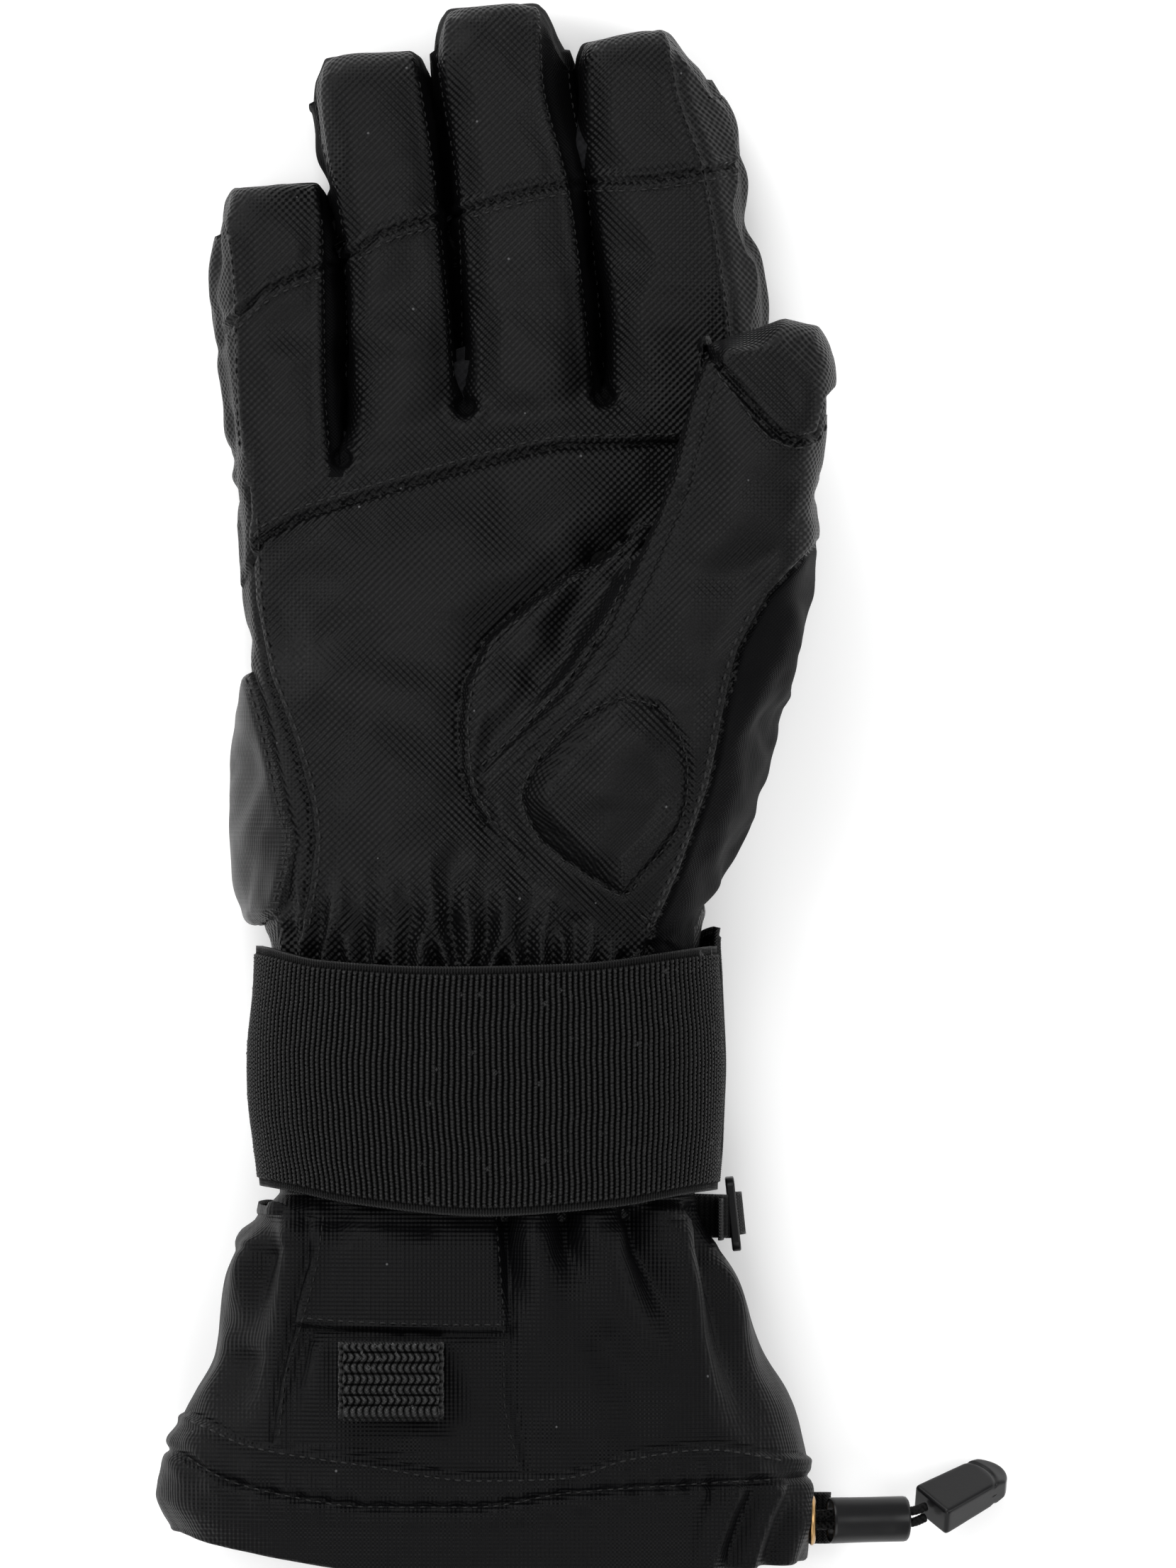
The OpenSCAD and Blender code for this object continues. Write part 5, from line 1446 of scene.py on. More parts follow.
for nm in sorted(set(lab)):
    f = gf[lab == nm]
    used, inv = np.unique(f, return_inverse=True)
    f2 = inv.reshape(-1, 4)
    ob = new_object(nm + "_cloth", GA[used], f2)
    ob.data.normals_split_custom_set_from_vertices([tuple(v) for v in gnorm[used]])
    finish_piece(ob, "cuff_fabric", replaces=[nm])

# Hem: a doubled band with its channel for the drawcord, rolled in at the mouth.
nu2 = nu
nh = 64


def hem_disp_fn(p, n):
    d = 0.75 * np.ones(len(p))
    upw = smooth((n[:, 2] + 0.1) / 0.5)
    dist, s, _ = poly_dist(p, HEM_SEAM)
    d += -0.35 * np.exp(-((dist - 0.2) ** 2) / 0.5) + 0.45 * np.exp(-((dist - 1.4) ** 2) / 0.7)
    dist, s, _ = poly_dist(p, HEM_STITCH)
    d += -0.95 * np.exp(-(dist**2) / 0.7) + 0.35 * np.exp(-((dist - 2.6) ** 2) / 3.5)
    # puckers along both rows of stitches
    ph = p[:, 0] * 2 * math.pi / 6.1 + 1.7 * np.sin(p[:, 0] * 0.17) + p[:, 1] * 0.25
    d += 0.4 * np.sin(ph) * np.exp(-((p[:, 1] - curve_y(HEM_STITCH, p[:, 0])) ** 2) / 16)
    d += 0.55 * noise(p * [0.75, 1.2, 1], 26, 51) + 0.12 * noise(p, 8, 53)
    # the drawcord bunches the cloth on the thumb side
    near = smooth((p[:, 0] - 36) / 14)
    d += near * upw * 1.5 * np.sin(p[:, 0] * 2 * math.pi / 8.0 - p[:, 1] * 0.28) * smooth((-137 - p[:, 1]) / 6)
    return d


yb = np.full(nu2, -158.2)
s = np.linspace(0, 1, nh)[:, None]
y = np.full((nh, nu2), -145.0)
for _ in range(3):
    G = ring(HAND, y, tt[None, :], 0)
    bow = G[..., 1] - y
    y = (hem_y(G[0, :, 0]) - bow[0] + 0.2)[None, :] * (1 - s) + yb[None, :] * s
Ph, Nh = tube_surface(y, nu2, 0, hem_disp_fn)
keep_out = np.hypot(Ph[..., 1] + 148.5, Ph[..., 2] - 20)
near_eye = (Ph[..., 0] > 50) * np.exp(-((np.maximum(keep_out - 4.6, 0)) ** 2) / 8)
flat_x = 62.9
Ph[..., 0] = Ph[..., 0] * (1 - near_eye) + flat_x * near_eye
Ph[..., 2] = np.maximum(Ph[..., 2], 0.02)
# the roll at the mouth: a half turn inwards, then up inside
roll = []
last, lastn = Ph[-1], Nh[-1]
for k in range(1, 9):
    a = math.pi * k / 8
    q = last - lastn * (1.3 * (1 - math.cos(a)))
    q[:, 1] -= 1.3 * math.sin(a)
    roll.append(q)
inner = []
for k in range(1, 13):
    yy = y[-1] + k * 0.9
    Gi, Ni = tube_surface(np.stack([yy, yy - 1.0]), nu2, 2.6)
    g = Gi[0]
    m = smooth(k / 4)
    prev = roll[-1].copy()
    prev[:, 1] += k * 0.9
    inner.append(prev * (1 - m) + (g + [0, 0, 0]) * m)
allrows = np.concatenate([Ph, np.array(roll), np.array(inner)], 0)
allrows[..., 2] = np.maximum(allrows[..., 2], 0.02)
hf = grid_faces(nu2, len(allrows), True)
HA = allrows.reshape(-1, 3)
hc = HA[hf].mean(1)
hole = (hc[:, 0] > 45) & (np.hypot(hc[:, 1] + 148.5, hc[:, 2] - 20) < 3.3)
hf = hf[~hole]
a, b, c = HA[hf[0][0]], HA[hf[0][1]], HA[hf[0][2]]
if np.dot(np.cross(b - a, c - a), Nh.reshape(-1, 3)[hf[0][0]]) < 0:
    hf = hf[:, ::-1]
hem = new_object("gauntlet_hem_band", HA, [tuple(q) for q in hf])
finish_piece(hem, "cuff_fabric", replaces=["gauntlet_hem"])

# Lining of the gauntlet, from inside the hem to the wrist.
ys = np.linspace(-149, -86, 70)
Pl, Nl = tube_surface(ys, 260, 3.6, lambda p, n: 0.9 * noise(p * [1.2, 0.4, 1.0], 22, 61) + 0.3 * noise(p, 8, 62))
yw = smooth((Pl[..., 1] + 100) / 14)
lin = shell_object("gauntlet_lining_cloth", Pl, Nl, 0.7, True)
finish_piece(lin, "lining", replaces=["gauntlet_lining"])

# surfaces that stitches are laid on
bm = bmesh.new()
bm.from_mesh(whole.data)
bm.from_mesh(hem.data)
BVH_CUFF = BVHTree.FromBMesh(bm)
bm.free()
bpy.data.objects.remove(whole)


# ------------------------------------------------------------------ stitches
def ground(bvh, x, y, z_from=80.0, below=None):
    """Height and normal of the cloth under a point, looking down."""
    loc, nrm, _, _ = bvh.ray_cast(Vector((x * MM, y * MM, z_from * MM)), Vector((0, 0, -1)))
    if loc is None:
        return None
    if below is not None and loc.z / MM > below:
        loc, nrm, _, _ = bvh.ray_cast(Vector((x * MM, y * MM, loc.z - 4 * MM)), Vector((0, 0, -1)))
        if loc is None:
            return None
    return np.array(loc) / MM, np.array(nrm)


def offset_line(poly, off):
    p = np.array(poly, float)
    d = np.gradient(p, axis=0)
    n = np.stack([-d[:, 1], d[:, 0]], -1)
    n /= np.linalg.norm(n, axis=1, keepdims=True)
    return p + n * off


def resample(poly, step):
    """Points a step apart along a smoothed line."""
    p = np.array(poly, float)
    s = np.concatenate([[0], np.cumsum(np.hypot(*np.diff(p, axis=0).T))])
    q = np.arange(0, s[-1], 0.2)
    xs, ys_ = pchip(s, p[:, 0], q), pchip(s, p[:, 1], q)
    r = np.concatenate([[0], np.cumsum(np.hypot(np.diff(xs), np.diff(ys_)))])
    g = np.arange(0, r[-1], step)
    return np.stack([np.interp(g, r, xs), np.interp(g, r, ys_)], -1)


def stitches(name, lines, bvh=None, pitch=2.5, part=0.72, r=0.26, z_max=None, body="glove_body", bend=None, z_min=None, mat="thread"):
    """Thread laid along flat lines: each stitch is a short bowed tube whose ends go into the cloth."""
    bvh = bvh or BVH
    verts, faces = [], []
    for poly, off in lines:
        pts = resample(offset_line(poly, off), pitch)
        fine = 5
        for k in range(len(pts) - 1):
            a, b = pts[k], pts[k] + (pts[k + 1] - pts[k]) * part
            ctr, ok = [], True
            for j in range(fine):
                t = j / (fine - 1)
                q = a + (b - a) * t
                g = ground(bvh, q[0], q[1], below=z_max)
                if g is None or (z_max is not None and g[0][2] > z_max) or (z_min is not None and g[0][2] < z_min):
                    ok = False
                    break
                ctr.append(g[0] + g[1] * (-0.22 + 0.36 * math.sin(math.pi * t)))
            if not ok:
                continue
            ctr = np.array(ctr)
            if np.max(np.abs(np.diff(ctr[:, 2]))) > 1.6:
                continue
            b0 = len(verts)
            tdir = np.gradient(ctr, axis=0)
            tdir /= np.linalg.norm(tdir, axis=1, keepdims=True)
            s1 = np.cross(tdir, [0, 0, 1.0])
            s1 /= np.linalg.norm(s1, axis=1, keepdims=True)
            s2 = np.cross(tdir, s1)
            for j in range(fine):
                rr = r * (0.55 if j in (0, fine - 1) else 1)
                for m in range(6):
                    an = 2 * math.pi * m / 6
                    verts.append(ctr[j] + (s1[j] * math.cos(an) + s2[j] * math.sin(an)) * rr)
            for j in range(fine - 1):
                for m in range(6):
                    faces.append((b0 + j * 6 + m, b0 + (j + 1) * 6 + m, b0 + (j + 1) * 6 + (m + 1) % 6, b0 + j * 6 + (m + 1) % 6))
            faces.append(tuple(b0 + m for m in range(6)))
            faces.append(tuple(b0 + (fine - 1) * 6 + 5 - m for m in range(6)))
    if not verts:
        print("no stitches for", name)
        return None
    ob = new_object(name, verts, faces)
    return finish_piece(ob, mat, body, bend=bend)


def cut_poly(poly, ymin=None, xmax=None):
    return [p for p in poly if (ymin is None or p[1] >= ymin) and (xmax is None or p[0] <= xmax)]


stitches("palm_seam_stitches", [(PALM_SEAM, 1.9)], z_max=41)
stitches("thenar_edge_stitches", [(THENAR_EDGE, -1.8)], z_max=47)
stitches("side_seam_stitches", [(SIDE_SEAM[1:], 1.5), (PAD_EDGE[1:8], -1.2)], z_max=50)
stitches("thenar_pad_stitches", [(THENAR_PAD + THENAR_PAD[:1], 0.0)], pitch=2.2, r=0.24, z_min=38)
stitches("thumb_right_stitches", [(THUMB_RIGHT[:6], 1.6)], z_min=30)
stitches("thumb_left_stitches", [(THUMB_LEFT[2:], -0.6)], z_min=36)
stitches("thumb_tip_stitches", [(THUMB_TIP, -1.8)], z_min=45, bend="thumb")
for n in FINGERS:
    by = BEND[n][1]
    le = [p for p in LEFT_EDGE[n] if p[1] < BEND[n][1] + 45]
    stitches(n + "_tip_seam_stitches", [(TIP_SEAMS[n], -2.0)], pitch=2.3, z_max=40, z_min=19, bend=n)
low = {"index": 80, "middle": 80, "ring": 80, "little": 66}
for n in FINGERS:
    by = BEND[n][1]
    ys_ = np.linspace(low[n] + 2, by - 15, 6)
    lo_l = [[float(curve_x(LEFT_EDGE[n], v)), float(v)] for v in ys_]
    lo_r = [[float(curve_x(RIGHT_EDGE[n], v)), float(v)] for v in ys_]
    ys_ = np.linspace(by - 14.5, max(r[0] for r in FINGERS[n]) - 5, 10)
    hi_l = [[float(curve_x(LEFT_EDGE[n], v)), float(v)] for v in ys_]
    hi_r = [[float(curve_x(RIGHT_EDGE[n], v)), float(v)] for v in ys_]
    stitches(n + "_edge_stitches_low", [(lo_l, 0.4), (lo_r, -0.4)], pitch=2.0, r=0.18, z_max=40, z_min=15, mat="thread_dark")
    stitches(n + "_edge_stitches_high", [(hi_l, 0.4), (hi_r, -0.4)], pitch=2.0, r=0.18, z_max=40, z_min=15, bend=n, mat="thread_dark")
stitches("cuff_seam_stitches", [(CUFF_LEFT, 1.4), (CUFF_RIGHT, -1.4)], BVH_CUFF, 2.1, 0.7, 0.2, mat="thread_dark")
stitches("flap_edge_stitches", [(FLAP_EDGE, 1.8)], BVH_CUFF, 2.1, 0.7, 0.22)
stitches("hem_seam_stitches", [([[x, float(curve_y(HEM_SEAM, x))] for x in np.linspace(-61, 59, 30)], -1.5)], BVH_CUFF, 2.1, 0.7, 0.22)
stitches("hem_channel_stitches", [([[x, float(curve_y(HEM_STITCH, x))] for x in np.linspace(-62, 57, 30)], 0.0)], BVH_CUFF, 2.1, 0.7, 0.24)


def bartack(name, cx, cy, w, rows=9):
    lines = []
    verts, faces = [], []
    for k in range(rows):
        x = cx + (k - (rows - 1) / 2) * w / rows
        lines.append(([[x - 0.25, cy - 0.9], [x + 0.25, cy + 0.9]], 0.0))
    return stitches(name, lines, BVH_CUFF, 1.8, 1.0, 0.24, mat="thread_pale")


# ------------------------------------------------------------------ small solid pieces
def rod(name, pts, radii, sides=16, mat="plastic", body="glove_body", replaces=(), cap=True, flat=1.0, up_hint=(0, 0, 1)):
    """A tube through points with a radius at each."""
    pts = np.array(pts, float)
    radii = np.broadcast_to(np.asarray(radii, float), (len(pts),))
    T = np.gradient(pts, axis=0)
    T /= np.linalg.norm(T, axis=1, keepdims=True)
    u = np.cross(T[0], up_hint)
    if np.linalg.norm(u) < 1e-3:
        u = np.cross(T[0], (0, 1, 0.1))
    u /= np.linalg.norm(u)
    verts, faces = [], []
    for i in range(len(pts)):
        u = u - T[i] * (u @ T[i])
        u /= np.linalg.norm(u)
        v = np.cross(T[i], u)
        for k in range(sides):
            a = 2 * math.pi * k / sides
            verts.append(pts[i] + radii[i] * (u * math.cos(a) + v * math.sin(a) * flat))
    for i in range(len(pts) - 1):
        for k in range(sides):
            faces.append((i * sides + k, i * sides + (k + 1) % sides, (i + 1) * sides + (k + 1) % sides, (i + 1) * sides + k))
    if cap:
        faces.append(tuple(sides - 1 - k for k in range(sides)))
        faces.append(tuple((len(pts) - 1) * sides + k for k in range(sides)))
    ob = new_object(name, verts, faces)
    return ob


def outline_solid(name, outline, z0, z1, bevel, place, holes=(), smooth_it=True):
    """A flat outline with thickness and rounded edges, put in place by a function."""
    bm = bmesh.new()
    vs = [bm.verts.new((x * MM, y * MM, z0 * MM)) for x, y in outline]
    f = bm.faces.new(vs)
    r = bmesh.ops.extrude_face_region(bm, geom=[f])
    for e in r["geom"]:
        if isinstance(e, bmesh.types.BMVert):
            e.co.z = z1 * MM
    bmesh.ops.recalc_face_normals(bm, faces=bm.faces)
    me = bpy.data.meshes.new(name)
    bm.to_mesh(me)
    bm.free()
    ob = bpy.data.objects.new(name, me)
    scene.collection.objects.link(ob)
    for k, hole in enumerate(holes):
        hb = bmesh.new()
        vs = [hb.verts.new((x * MM, y * MM, (h0) * MM)) for x, y, h0 in hole[0]]
        f = hb.faces.new(vs)
        r = bmesh.ops.extrude_face_region(hb, geom=[f])
        for e in r["geom"]:
            if isinstance(e, bmesh.types.BMVert):
                e.co.z = hole[1] * MM
        bmesh.ops.recalc_face_normals(hb, faces=hb.faces)
        hm = bpy.data.meshes.new("hole")
        hb.to_mesh(hm)
        hb.free()
        ho = bpy.data.objects.new("hole", hm)
        scene.collection.objects.link(ho)
        md = ob.modifiers.new("b", "BOOLEAN")
        md.object = ho
        md.operation = "DIFFERENCE"
        md.solver = "EXACT"
        baked(ob)
        bpy.data.objects.remove(ho)
    bv = ob.modifiers.new("v", "BEVEL")
    bv.width = bevel * MM
    bv.segments = 3
    bv.limit_method = "ANGLE"
    bv.angle_limit = math.radians(35)
    baked(ob)
    co = coords(ob)
    set_coords(ob, place(co))
    ob.data.polygons.foreach_set("use_smooth", [True] * len(ob.data.polygons))
    sharp = ob.modifiers.new("w", "WEIGHTED_NORMAL")
    sharp.keep_sharp = False
    baked(ob)
    return ob


def rot(axis, deg):
    a = math.radians(deg)
    c, s = math.cos(a), math.sin(a)
    if axis == "x":
        return np.array([[1, 0, 0], [0, c, -s], [0, s, c]])
    if axis == "y":
        return np.array([[c, 0, s], [0, 1, 0], [-s, 0, c]])
    return np.array([[c, -s, 0], [s, c, 0], [0, 0, 1]])


def rounded_rect(w, h, r, n=6):
    pts = []
    for cx, cy, a0 in ((w / 2 - r, h / 2 - r, 0), (-w / 2 + r, h / 2 - r, 90), (-w / 2 + r, -h / 2 + r, 180), (w / 2 - r, -h / 2 + r, 270)):
        for k in range(n + 1):
            a = math.radians(a0 + 90 * k / n)
            pts.append((cx + r * math.cos(a), cy + r * math.sin(a)))
    return pts


# Pull loop: a folded band with herringbone rows, its sides a little ruffled.
def band_loop(name, origin, w, length, thick, mat, body, node):
    h = thick * 2 + 0.9
    nu, nv = ((130, 150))
    # path in the (y, z) plane: out along the top, round the end, back underneath, round the start
    R = h / 2 - thick / 2 + 0.1
    y0, y1 = -h / 2 - 0.2, -length + h / 2
    path, nrm_ = [], []
    for s in np.linspace(0, 1, nv // 2):
        path.append((y0 + (y1 - y0) * s, R + 0.5 * math.sin(math.pi * s) ** 2))
    for k in range(1, 12):
        a = math.pi * k / 12
        path.append((y1 - R * math.sin(a), R * math.cos(a)))
    for s in np.linspace(0, 1, nv // 2):
        path.append((y1 + (y0 - y1) * s, -R))
    path = np.array(path)
    seg = np.concatenate([[0], np.cumsum(np.hypot(*np.diff(path, axis=0).T))])
    q = np.linspace(0, seg[-1], nv)
    py, pz = np.interp(q, seg, path[:, 0]), np.interp(q, seg, path[:, 1])
    ty, tz = np.gradient(py), np.gradient(pz)
    tl = np.hypot(ty, tz)
    ny, nz = -tz / tl, ty / tl
    if nz[5] < 0:
        ny, nz = -ny, -nz
    x = np.linspace(0, w, nu)
    X_, Qv = np.meshgrid(x, q)
    rowp = Qv / 2.1
    zig = np.abs(((X_ / 1.35 + 0.5 * (np.floor(rowp) % 2)) % 1) - 0.5) * 2
    hgt = 0.8 * np.abs(np.sin(math.pi * rowp)) ** 0.5 * (0.45 + 0.55 * np.abs(np.sin(math.pi * (X_ / 1.35 + 0.35 * np.sin(math.pi * rowp)))))
    hgt = np.where((X_ < 0.9) | (X_ > w - 0.9), 0.12 + 0.15 * np.abs(np.sin(Qv * 2.4)), hgt)
    A = np.stack([X_ + 0.12 * np.sin(Qv * 1.9) * (2 * X_ / w - 1), np.repeat(py[:, None], nu, 1), np.repeat(pz[:, None], nu, 1)], -1)
    Nn = np.stack([np.zeros_like(X_), np.repeat(ny[:, None], nu, 1), np.repeat(nz[:, None], nu, 1)], -1)
    A = A + Nn * (thick / 2 + hgt)[..., None] + np.array(origin)
    ob = shell_object(name, A, Nn, thick, False)
    return finish_piece(ob, mat, body, [node])


band_loop("pull_loop_band", (-31.5, -109.8, 56.9), 21, 17, 1.2, "loop_webbing", "pull_loop", "pull_loop")
g1 = ground(BVH_CUFF, -34.0, -111.6)
bartack("loop_bartack_left", -34.6, -112.0, 4.5)
bartack("loop_bartack_right", -4.0, -112.0, 4.5)

# Slider and adjuster strap on the thumb side.
# The strap comes out from under the wide webbing and lies along the wrist up to the slider.
RS = rot("z", 6)
C0 = np.array([47.7, -86.8, 14.5])


def place_slider(p):
    # outline in y, z of the slider's own frame; thickness along x
    return np.stack([p[:, 2], p[:, 0], p[:, 1]], -1) @ RS.T + C0


bars = [([(a, b, -3) for a, b in rounded_rect(10, 3.4, 0.8)], 3.0)]
holes = []
for s_ in (-1, 1):
    holes.append(([(a, b + s_ * 3.1, -3) for a, b in rounded_rect(10, 3.4, 0.8)], 3.0))
finish_piece(outline_solid("slider_buckle_frame", rounded_rect(15, 14, 2.2), -0.9, 0.9, 0.35, place_slider, holes), "plastic", "slider", ["slider_buckle"])


def thin_band(name, pts, width_dir, width, thick, mat, body, replaces, rib=0.0):
    """A flat strap along a line of points."""
    pts = np.array(pts, float)
    s = np.concatenate([[0], np.cumsum(np.linalg.norm(np.diff(pts, axis=0), axis=1))])
    q = np.linspace(0, s[-1], max(12, int(s[-1] / 0.35)))
    c = np.stack([pchip(s, pts[:, k], q) for k in range(3)], -1)
    T = np.gradient(c, axis=0)
    T /= np.linalg.norm(T, axis=1, keepdims=True)
    W = np.array(width_dir, float)
    W /= np.linalg.norm(W)
    nu = max(8, int(width / 0.35))
    u = np.linspace(-0.5, 0.5, nu) * width
    N_ = np.cross(T, W)
    N_ /= np.linalg.norm(N_, axis=1, keepdims=True)
    A = c[:, None, :] + u[None, :, None] * W
    h = rib * np.abs(np.sin(math.pi * q[:, None] / 1.1)) * (0.6 + 0.4 * np.abs(np.sin(math.pi * u[None, :] / 0.9)))
    NN = np.repeat(N_[:, None, :], nu, 1)
    A = A + NN * (thick / 2 + h)[..., None]
    ob = shell_object(name, A, NN, thick, False)
    return finish_piece(ob, mat, body, replaces)


thin_band("adjuster_strap", [(45.2, -87.7, 6), (45.4, -87.7, 12), (45.5, -87.7, 18), (45.4, -87.7, 24), (45.0, -87.7, 30)], (0, 1, 0), 8.4, 0.7, "webbing", "glove_body", ["adjuster_webbing"], 0.14)
# The adjuster strap's upper leg, from under the wide webbing to the slider.
thin_band("adjuster_strap_leg", [(38.5, -86.9, 24.5), (41.5, -87.0, 24.2), (44.5, -87.1, 23.2), (46.6, -87.2, 21.2), (47.4, -87.2, 18.4), (47.6, -87.2, 15.8)], (0, 1, 0), 8.8, 0.7, "webbing", "glove_body", [], 0.14)
Lp = []
for k in range(29):
    a = 2 * math.pi * k / 28
    Lp.append(np.array([1.05 * math.cos(a) + 0.85, 0, 3.0 * math.sin(a)]) @ RS.T + C0)
thin_band("adjuster_loop_strap", Lp, RS @ np.array([0, 1, 0]), 8.6, 0.6, "webbing", "slider", ["adjuster_loop"], 0.12)

# Brass eyelet: a rolled flange outside and its washer inside.
EY = np.array([63.0, -148.5, 20.0])


def lathe(name, profile, centre, mat, body, replaces, n=64):
    verts, faces = [], []
    m = len(profile)
    for i in range(n):
        a = 2 * math.pi * i / n
        for r, x in profile:
            verts.append(centre + np.array([x, r * math.cos(a), r * math.sin(a)]))
    for i in range(n):
        for j in range(m):
            a, b = i * m + j, i * m + (j + 1) % m
            c, d = ((i + 1) % n) * m + (j + 1) % m, ((i + 1) % n) * m + j
            faces.append((a, b, c, d))
    ob = new_object(name, verts, faces)
    me = ob.data
    bm = bmesh.new()
    bm.from_mesh(me)
    bmesh.ops.recalc_face_normals(bm, faces=bm.faces)
    bm.to_mesh(me)
    bm.free()
    return finish_piece(ob, mat, body, replaces)


lathe("eyelet_brass_ring", [(2.7, -4.0), (2.7, 0.6), (2.85, 1.0), (3.3, 1.3), (4.0, 1.35), (4.7, 1.15), (5.1, 0.75), (5.15, 0.4), (4.8, 0.15), (3.6, 0.1), (3.4, -0.3), (3.4, -4.0)], EY, "brass", "glove_body", ["eyelet"])
lathe("eyelet_brass_washer", [(3.5, -3.6), (3.7, -3.9), (4.6, -3.8), (5.1, -3.4), (5.0, -3.0), (3.5, -3.0)], EY, "brass", "glove_body", [])

# Ribbed anchor loop beside the eyelet.
al = []
for k in range(15):
    s_ = k / 14
    al.append((62.6 + 5.4 * math.sin(math.pi * s_) ** 0.8, -148.6, 17.8 - 7.6 * s_))
thin_band("cord_anchor_loop", [(62.4, -148.3, 12.6), (64.6, -148.3, 12.9), (66.6, -148.3, 12.7), (67.1, -148.3, 12.0), (66.4, -148.3, 11.4), (64.4, -148.3, 11.2), (62.4, -148.3, 11.3)], (0, 1, 0.05), 10.4, 0.7, "webbing", "glove_body", ["cord_anchor_tab"], 0.2)

# Drawcord strands.
CORD_A = [(57, -147.5, 20.2), (60, -147.5, 20), (64, -147.4, 19.5), (69, -147.3, 18.6), (75, -147.3, 17.4), (80, -147.2, 16.4), (84, -146.8, 15.4), (86.6, -146, 14)]
CORD_B = [(57, -149.6, 20.2), (60, -149.6, 20), (64, -149.6, 19.5), (69, -149.6, 18.6), (75, -149.6, 17.4), (80, -149.5, 16.4), (84, -149.1, 15.4), (86.4, -148.2, 14)]


def strand(name, route, node):
    p = np.array(route, float)
    s = np.concatenate([[0], np.cumsum(np.linalg.norm(np.diff(p, axis=0), axis=1))])
    q = np.linspace(0, s[-1], 160)
    c = np.stack([pchip(s, p[:, k], q) for k in range(3)], -1)
    ob = rod(name, c, 1.0, 14)
    # braid: two sets of fine spiral ridges
    co = coords(ob)
    ring_i = np.repeat(np.arange(len(c)), 14)
    ang = np.tile(np.arange(14) * 2 * math.pi / 14, len(c))
    dist = q[ring_i]
    h = 0.09 * (np.sin(2 * ang + dist * 4.6) * np.sin(2 * ang - dist * 4.6))
    out = co - c[ring_i]
    co = c[ring_i] + out * (1 + h - 0.04)[:, None]
    set_coords(ob, co)
    L = float(np.linalg.norm(np.diff(c, axis=0), axis=1).sum())
    ob.data.materials.append(M["elastic"])
    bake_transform(ob)
    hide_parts(node)
    return ob, c, L


sa, ca, la = strand("drawcord_strand_a", CORD_A, "drawcord_a")
sb, cb, lb = strand("drawcord_strand_b", CORD_B, "drawcord_b")

# Barrel lock: a hollow barrel with an oval throat and a soft edge.
RL = rot("z", 1) @ rot("y", 101.5)
LC = np.array([75, -148.5, 17.4])


def barrel(name):
    n = 72
    L = 16.0
    prof = [(4.05, -L / 2 + 4.0), (4.05, -L / 2 + 0.5), (4.2, -L / 2 + 0.1), (4.45, -L / 2), (4.65, -L / 2 + 0.25), (4.68, -L / 2 + 0.8), (4.62, -4), (4.58, 0), (4.6, 4), (4.62, L / 2 - 0.9), (4.5, L / 2 - 0.35), (4.15, L / 2 - 0.05), (3.6, L / 2)]
    verts, faces = [], []
    for i in range(n):
        a = 2 * math.pi * i / n
        for r, z in prof:
            verts.append((r * math.cos(a), r * math.sin(a), z))
        # throat: oval through the barrel
        ox, oy = 2.25 * math.cos(a), 3.3 * math.sin(a)
        verts.append((ox * 1.12, oy * 1.06, L / 2 - 0.05))
        verts.append((ox, oy, L / 2 - 0.6))
        verts.append((ox, oy, -L / 2 + 4.4))
        verts.append((ox * 1.12, oy * 1.06, -L / 2 + 4.0))
    m = len(prof) + 4
    for i in range(n):
        for j in range(m):
            a_, b_ = i * m + j, i * m + (j + 1) % m
            c_, d_ = ((i + 1) % n) * m + (j + 1) % m, ((i + 1) % n) * m + j
            faces.append((a_, b_, c_, d_))
    V_ = np.array(verts) @ RL.T + LC
    ob = new_object(name, V_, faces)
    bm = bmesh.new()
    bm.from_mesh(ob.data)
    bmesh.ops.recalc_face_normals(bm, faces=bm.faces)
    bm.to_mesh(ob.data)
    bm.free()
    return ob


lock = finish_piece(barrel("cord_lock_barrel"), "plastic", "cord_lock", ["cord_lock"])

# Cord end: a moulded wedge, thicker at its mouth, with a groove near the rounded nose.
RE = rot("z", 27) @ rot("y", 31)
RE = rot("y", 0) @ (rot("y", 0) @ RE)
RE = (rot("z", 0) @ RE)


def _re():
    # rotate([0, 31, 27]) then rotate([-41, 0, 0])
    return rot("z", 27) @ rot("y", 31) @ rot("x", -41)


RE = _re()
EC = np.array([87.5, -146.8, 13.4])


def place_end(p):
    q = p.copy()
    t = np.clip(q[:, 0] / 19, 0, 1)
    q[:, 2] *= 1.0 - 0.16 * t - 0.30 * smooth((t - 0.72) / 0.28)
    ridge = np.exp(-((np.hypot(q[:, 0] - 9.5, q[:, 1]) - 5.9) ** 2) / 0.12) * (q[:, 0] > 11)
    q[:, 2] -= np.sign(q[:, 2]) * 0.35 * ridge
    return q @ RE.T + EC


pts = [(0, -5.0), (1.0, -5.1), (14.4, -4.5)]
for k in range(0, 13):
    a = math.radians(-62 + 124 * k / 12)
    pts.append((13.9 + 5.1 * math.cos(a) * 1.0, 5.0 * math.sin(a)))
pts += [(14.4, 4.5), (1.0, 5.1), (0, 5.0)]
pts = [pts[0], pts[1], pts[2]] + [p for p in pts[3:-3] if p[0] > 14.6] + pts[-3:]


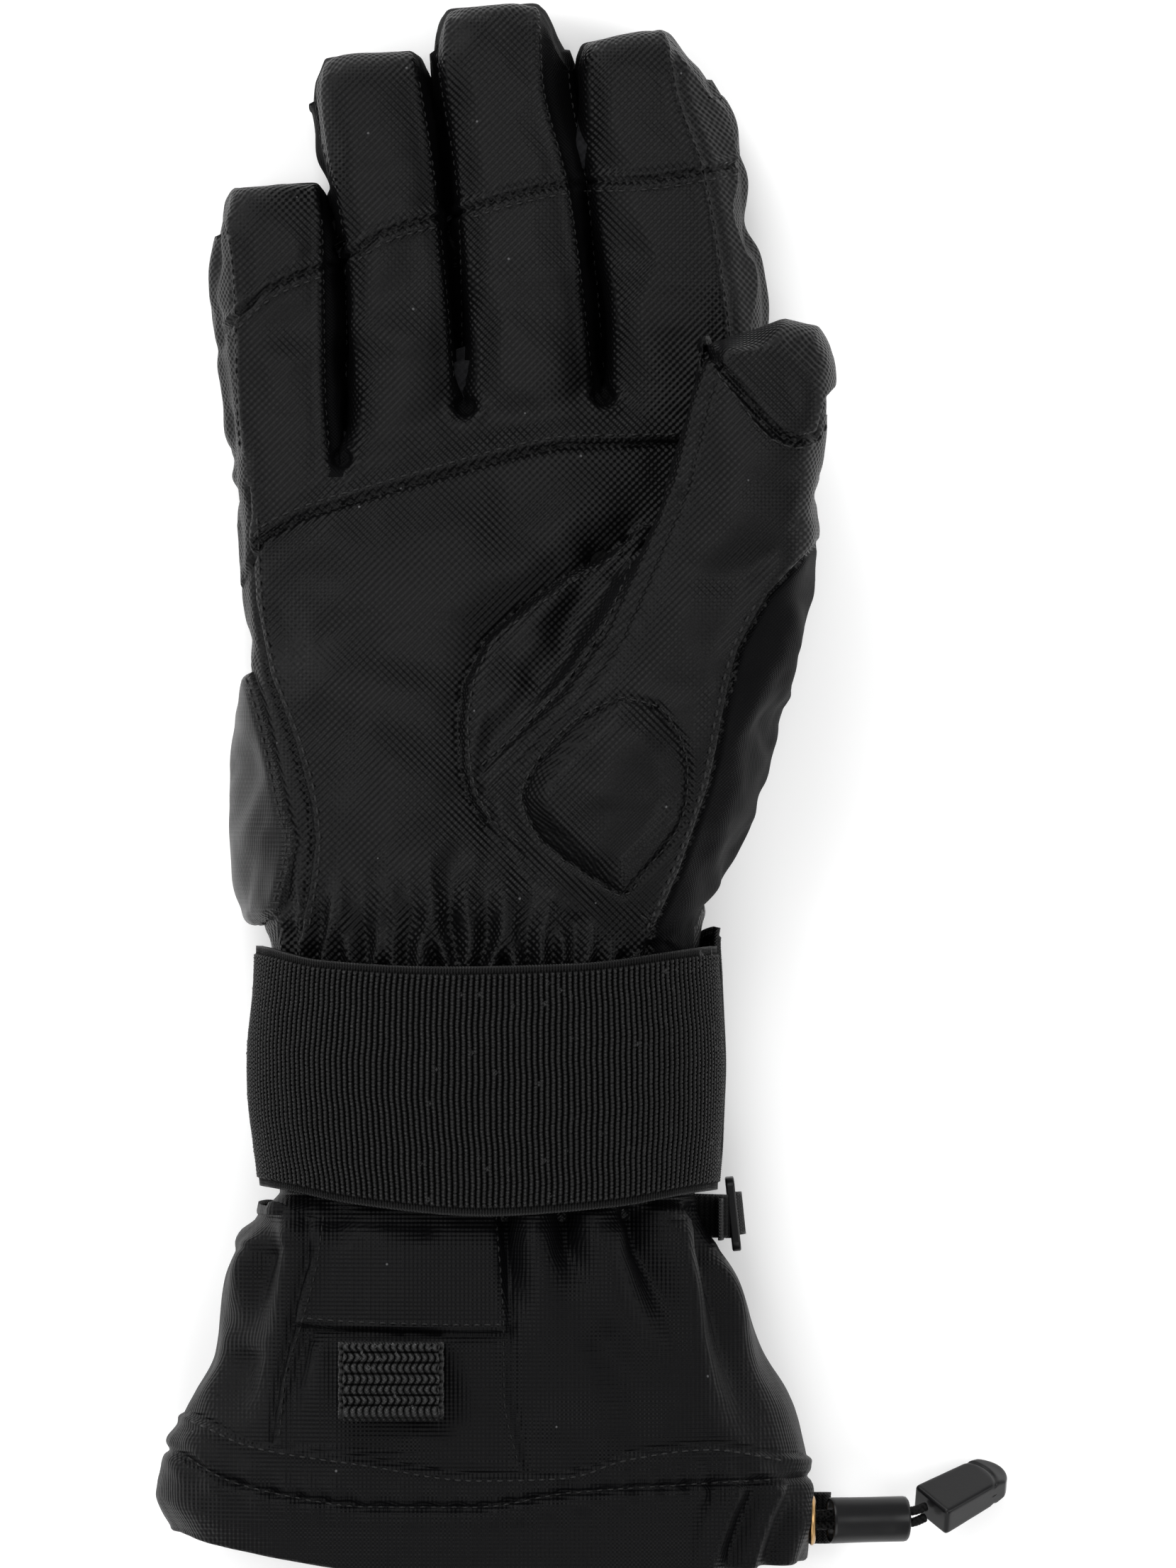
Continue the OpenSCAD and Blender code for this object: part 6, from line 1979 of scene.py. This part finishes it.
def end_body(name):
    """Dense top and bottom skins so that the groove shows."""
    bm = bmesh.new()
    vs = [bm.verts.new((x * MM, y * MM, -3.25 * MM)) for x, y in pts]
    f = bm.faces.new(vs)
    r = bmesh.ops.extrude_face_region(bm, geom=[f])
    for e in r["geom"]:
        if isinstance(e, bmesh.types.BMVert):
            e.co.z = 3.25 * MM
    bmesh.ops.recalc_face_normals(bm, faces=bm.faces)
    me = bpy.data.meshes.new(name)
    bm.to_mesh(me)
    bm.free()
    ob = bpy.data.objects.new(name, me)
    scene.collection.objects.link(ob)
    hb = bmesh.new()
    vs = [hb.verts.new((-1 * MM, y * MM, z * MM)) for y, z in rounded_rect(7.6, 4.2, 1.2)]
    f = hb.faces.new(vs)
    r = bmesh.ops.extrude_face_region(hb, geom=[f])
    for e in r["geom"]:
        if isinstance(e, bmesh.types.BMVert):
            e.co.x = 8 * MM
    bmesh.ops.recalc_face_normals(hb, faces=hb.faces)
    hm = bpy.data.meshes.new("hole")
    hb.to_mesh(hm)
    hb.free()
    ho = bpy.data.objects.new("hole", hm)
    scene.collection.objects.link(ho)
    md = ob.modifiers.new("b", "BOOLEAN")
    md.object = ho
    md.operation = "DIFFERENCE"
    md.solver = "EXACT"
    baked(ob)
    bpy.data.objects.remove(ho)
    bv = ob.modifiers.new("v", "BEVEL")
    bv.width = 0.7 * MM
    bv.segments = 3
    bv.limit_method = "ANGLE"
    bv.angle_limit = math.radians(40)
    baked(ob)
    rm = ob.modifiers.new("r", "REMESH")
    rm.mode = "VOXEL"
    rm.voxel_size = 0.00022
    baked(ob)
    s3 = ob.modifiers.new("s", "SMOOTH")
    s3.factor = 0.5
    s3.iterations = 4
    baked(ob)
    set_coords(ob, place_end(coords(ob)))
    ob.data.polygons.foreach_set("use_smooth", [True] * len(ob.data.polygons))
    return ob


cend = finish_piece(end_body("cord_end_wedge"), "plastic", "cord_end", ["cord_end"])

# ------------------------------------------------------------------ floor and light
fl = new_object("floor", [(-2500, -2500, 0), (2500, -2500, 0), (2500, 2500, 0), (-2500, 2500, 0)], [(0, 1, 2, 3)], False)
fm, fnt, fb = new_mat("pale_floor")
tc = nd(fnt, "ShaderNodeTexCoord")
no = nd(fnt, "ShaderNodeTexNoise")
no.inputs["Scale"].default_value = 3
fnt.links.new(tc.outputs["Object"], no.inputs["Vector"])
mx = nd(fnt, "ShaderNodeMix", data_type="RGBA")
mx.inputs[6].default_value = (0.93, 0.93, 0.93, 1)
mx.inputs[7].default_value = (0.96, 0.96, 0.96, 1)
fnt.links.new(no.outputs[0], mx.inputs[0])
fnt.links.new(mx.outputs[2], fb.inputs["Base Color"])
fb.inputs["Roughness"].default_value = 0.9
fb.inputs["Specular IOR Level"].default_value = 0.1
fb.inputs["Emission Color"].default_value = (1, 1, 1, 1)
fb.inputs["Emission Strength"].default_value = 0.16
fl.data.materials.append(fm)

world = bpy.data.worlds.new("soft_white")
scene.world = world
world.use_nodes = True
world.node_tree.nodes["Background"].inputs[0].default_value = (1, 1, 1, 1)
world.node_tree.nodes["Background"].inputs[1].default_value = 0.5


def area(name, loc, target, size, energy, size_y=None):
    l = bpy.data.lights.new(name, "AREA")
    l.energy = energy
    l.size = size
    if size_y:
        l.shape = "RECTANGLE"
        l.size_y = size_y
    o = bpy.data.objects.new(name, l)
    o.location = loc
    d = Vector(target) - Vector(loc)
    o.rotation_euler = d.to_track_quat("-Z", "Y").to_euler()
    scene.collection.objects.link(o)
    return o


area("upper_light", (-0.35, 1.15, 0.95), (0, 0, 0.03), 0.6, 12.5, 1.3)
area("lower_light", (0.0, -1.15, 1.0), (0, 0, 0.03), 0.7, 8.5, 1.3)
area("left_light", (-1.15, 0.2, 0.95), (0, 0, 0.03), 0.9, 11.5, 1.3)
area("right_light", (1.15, 0.0, 1.0), (0, 0, 0.03), 0.6, 9, 1.3)
scene.view_settings.view_transform = "Standard"
scene.view_settings.look = "None"
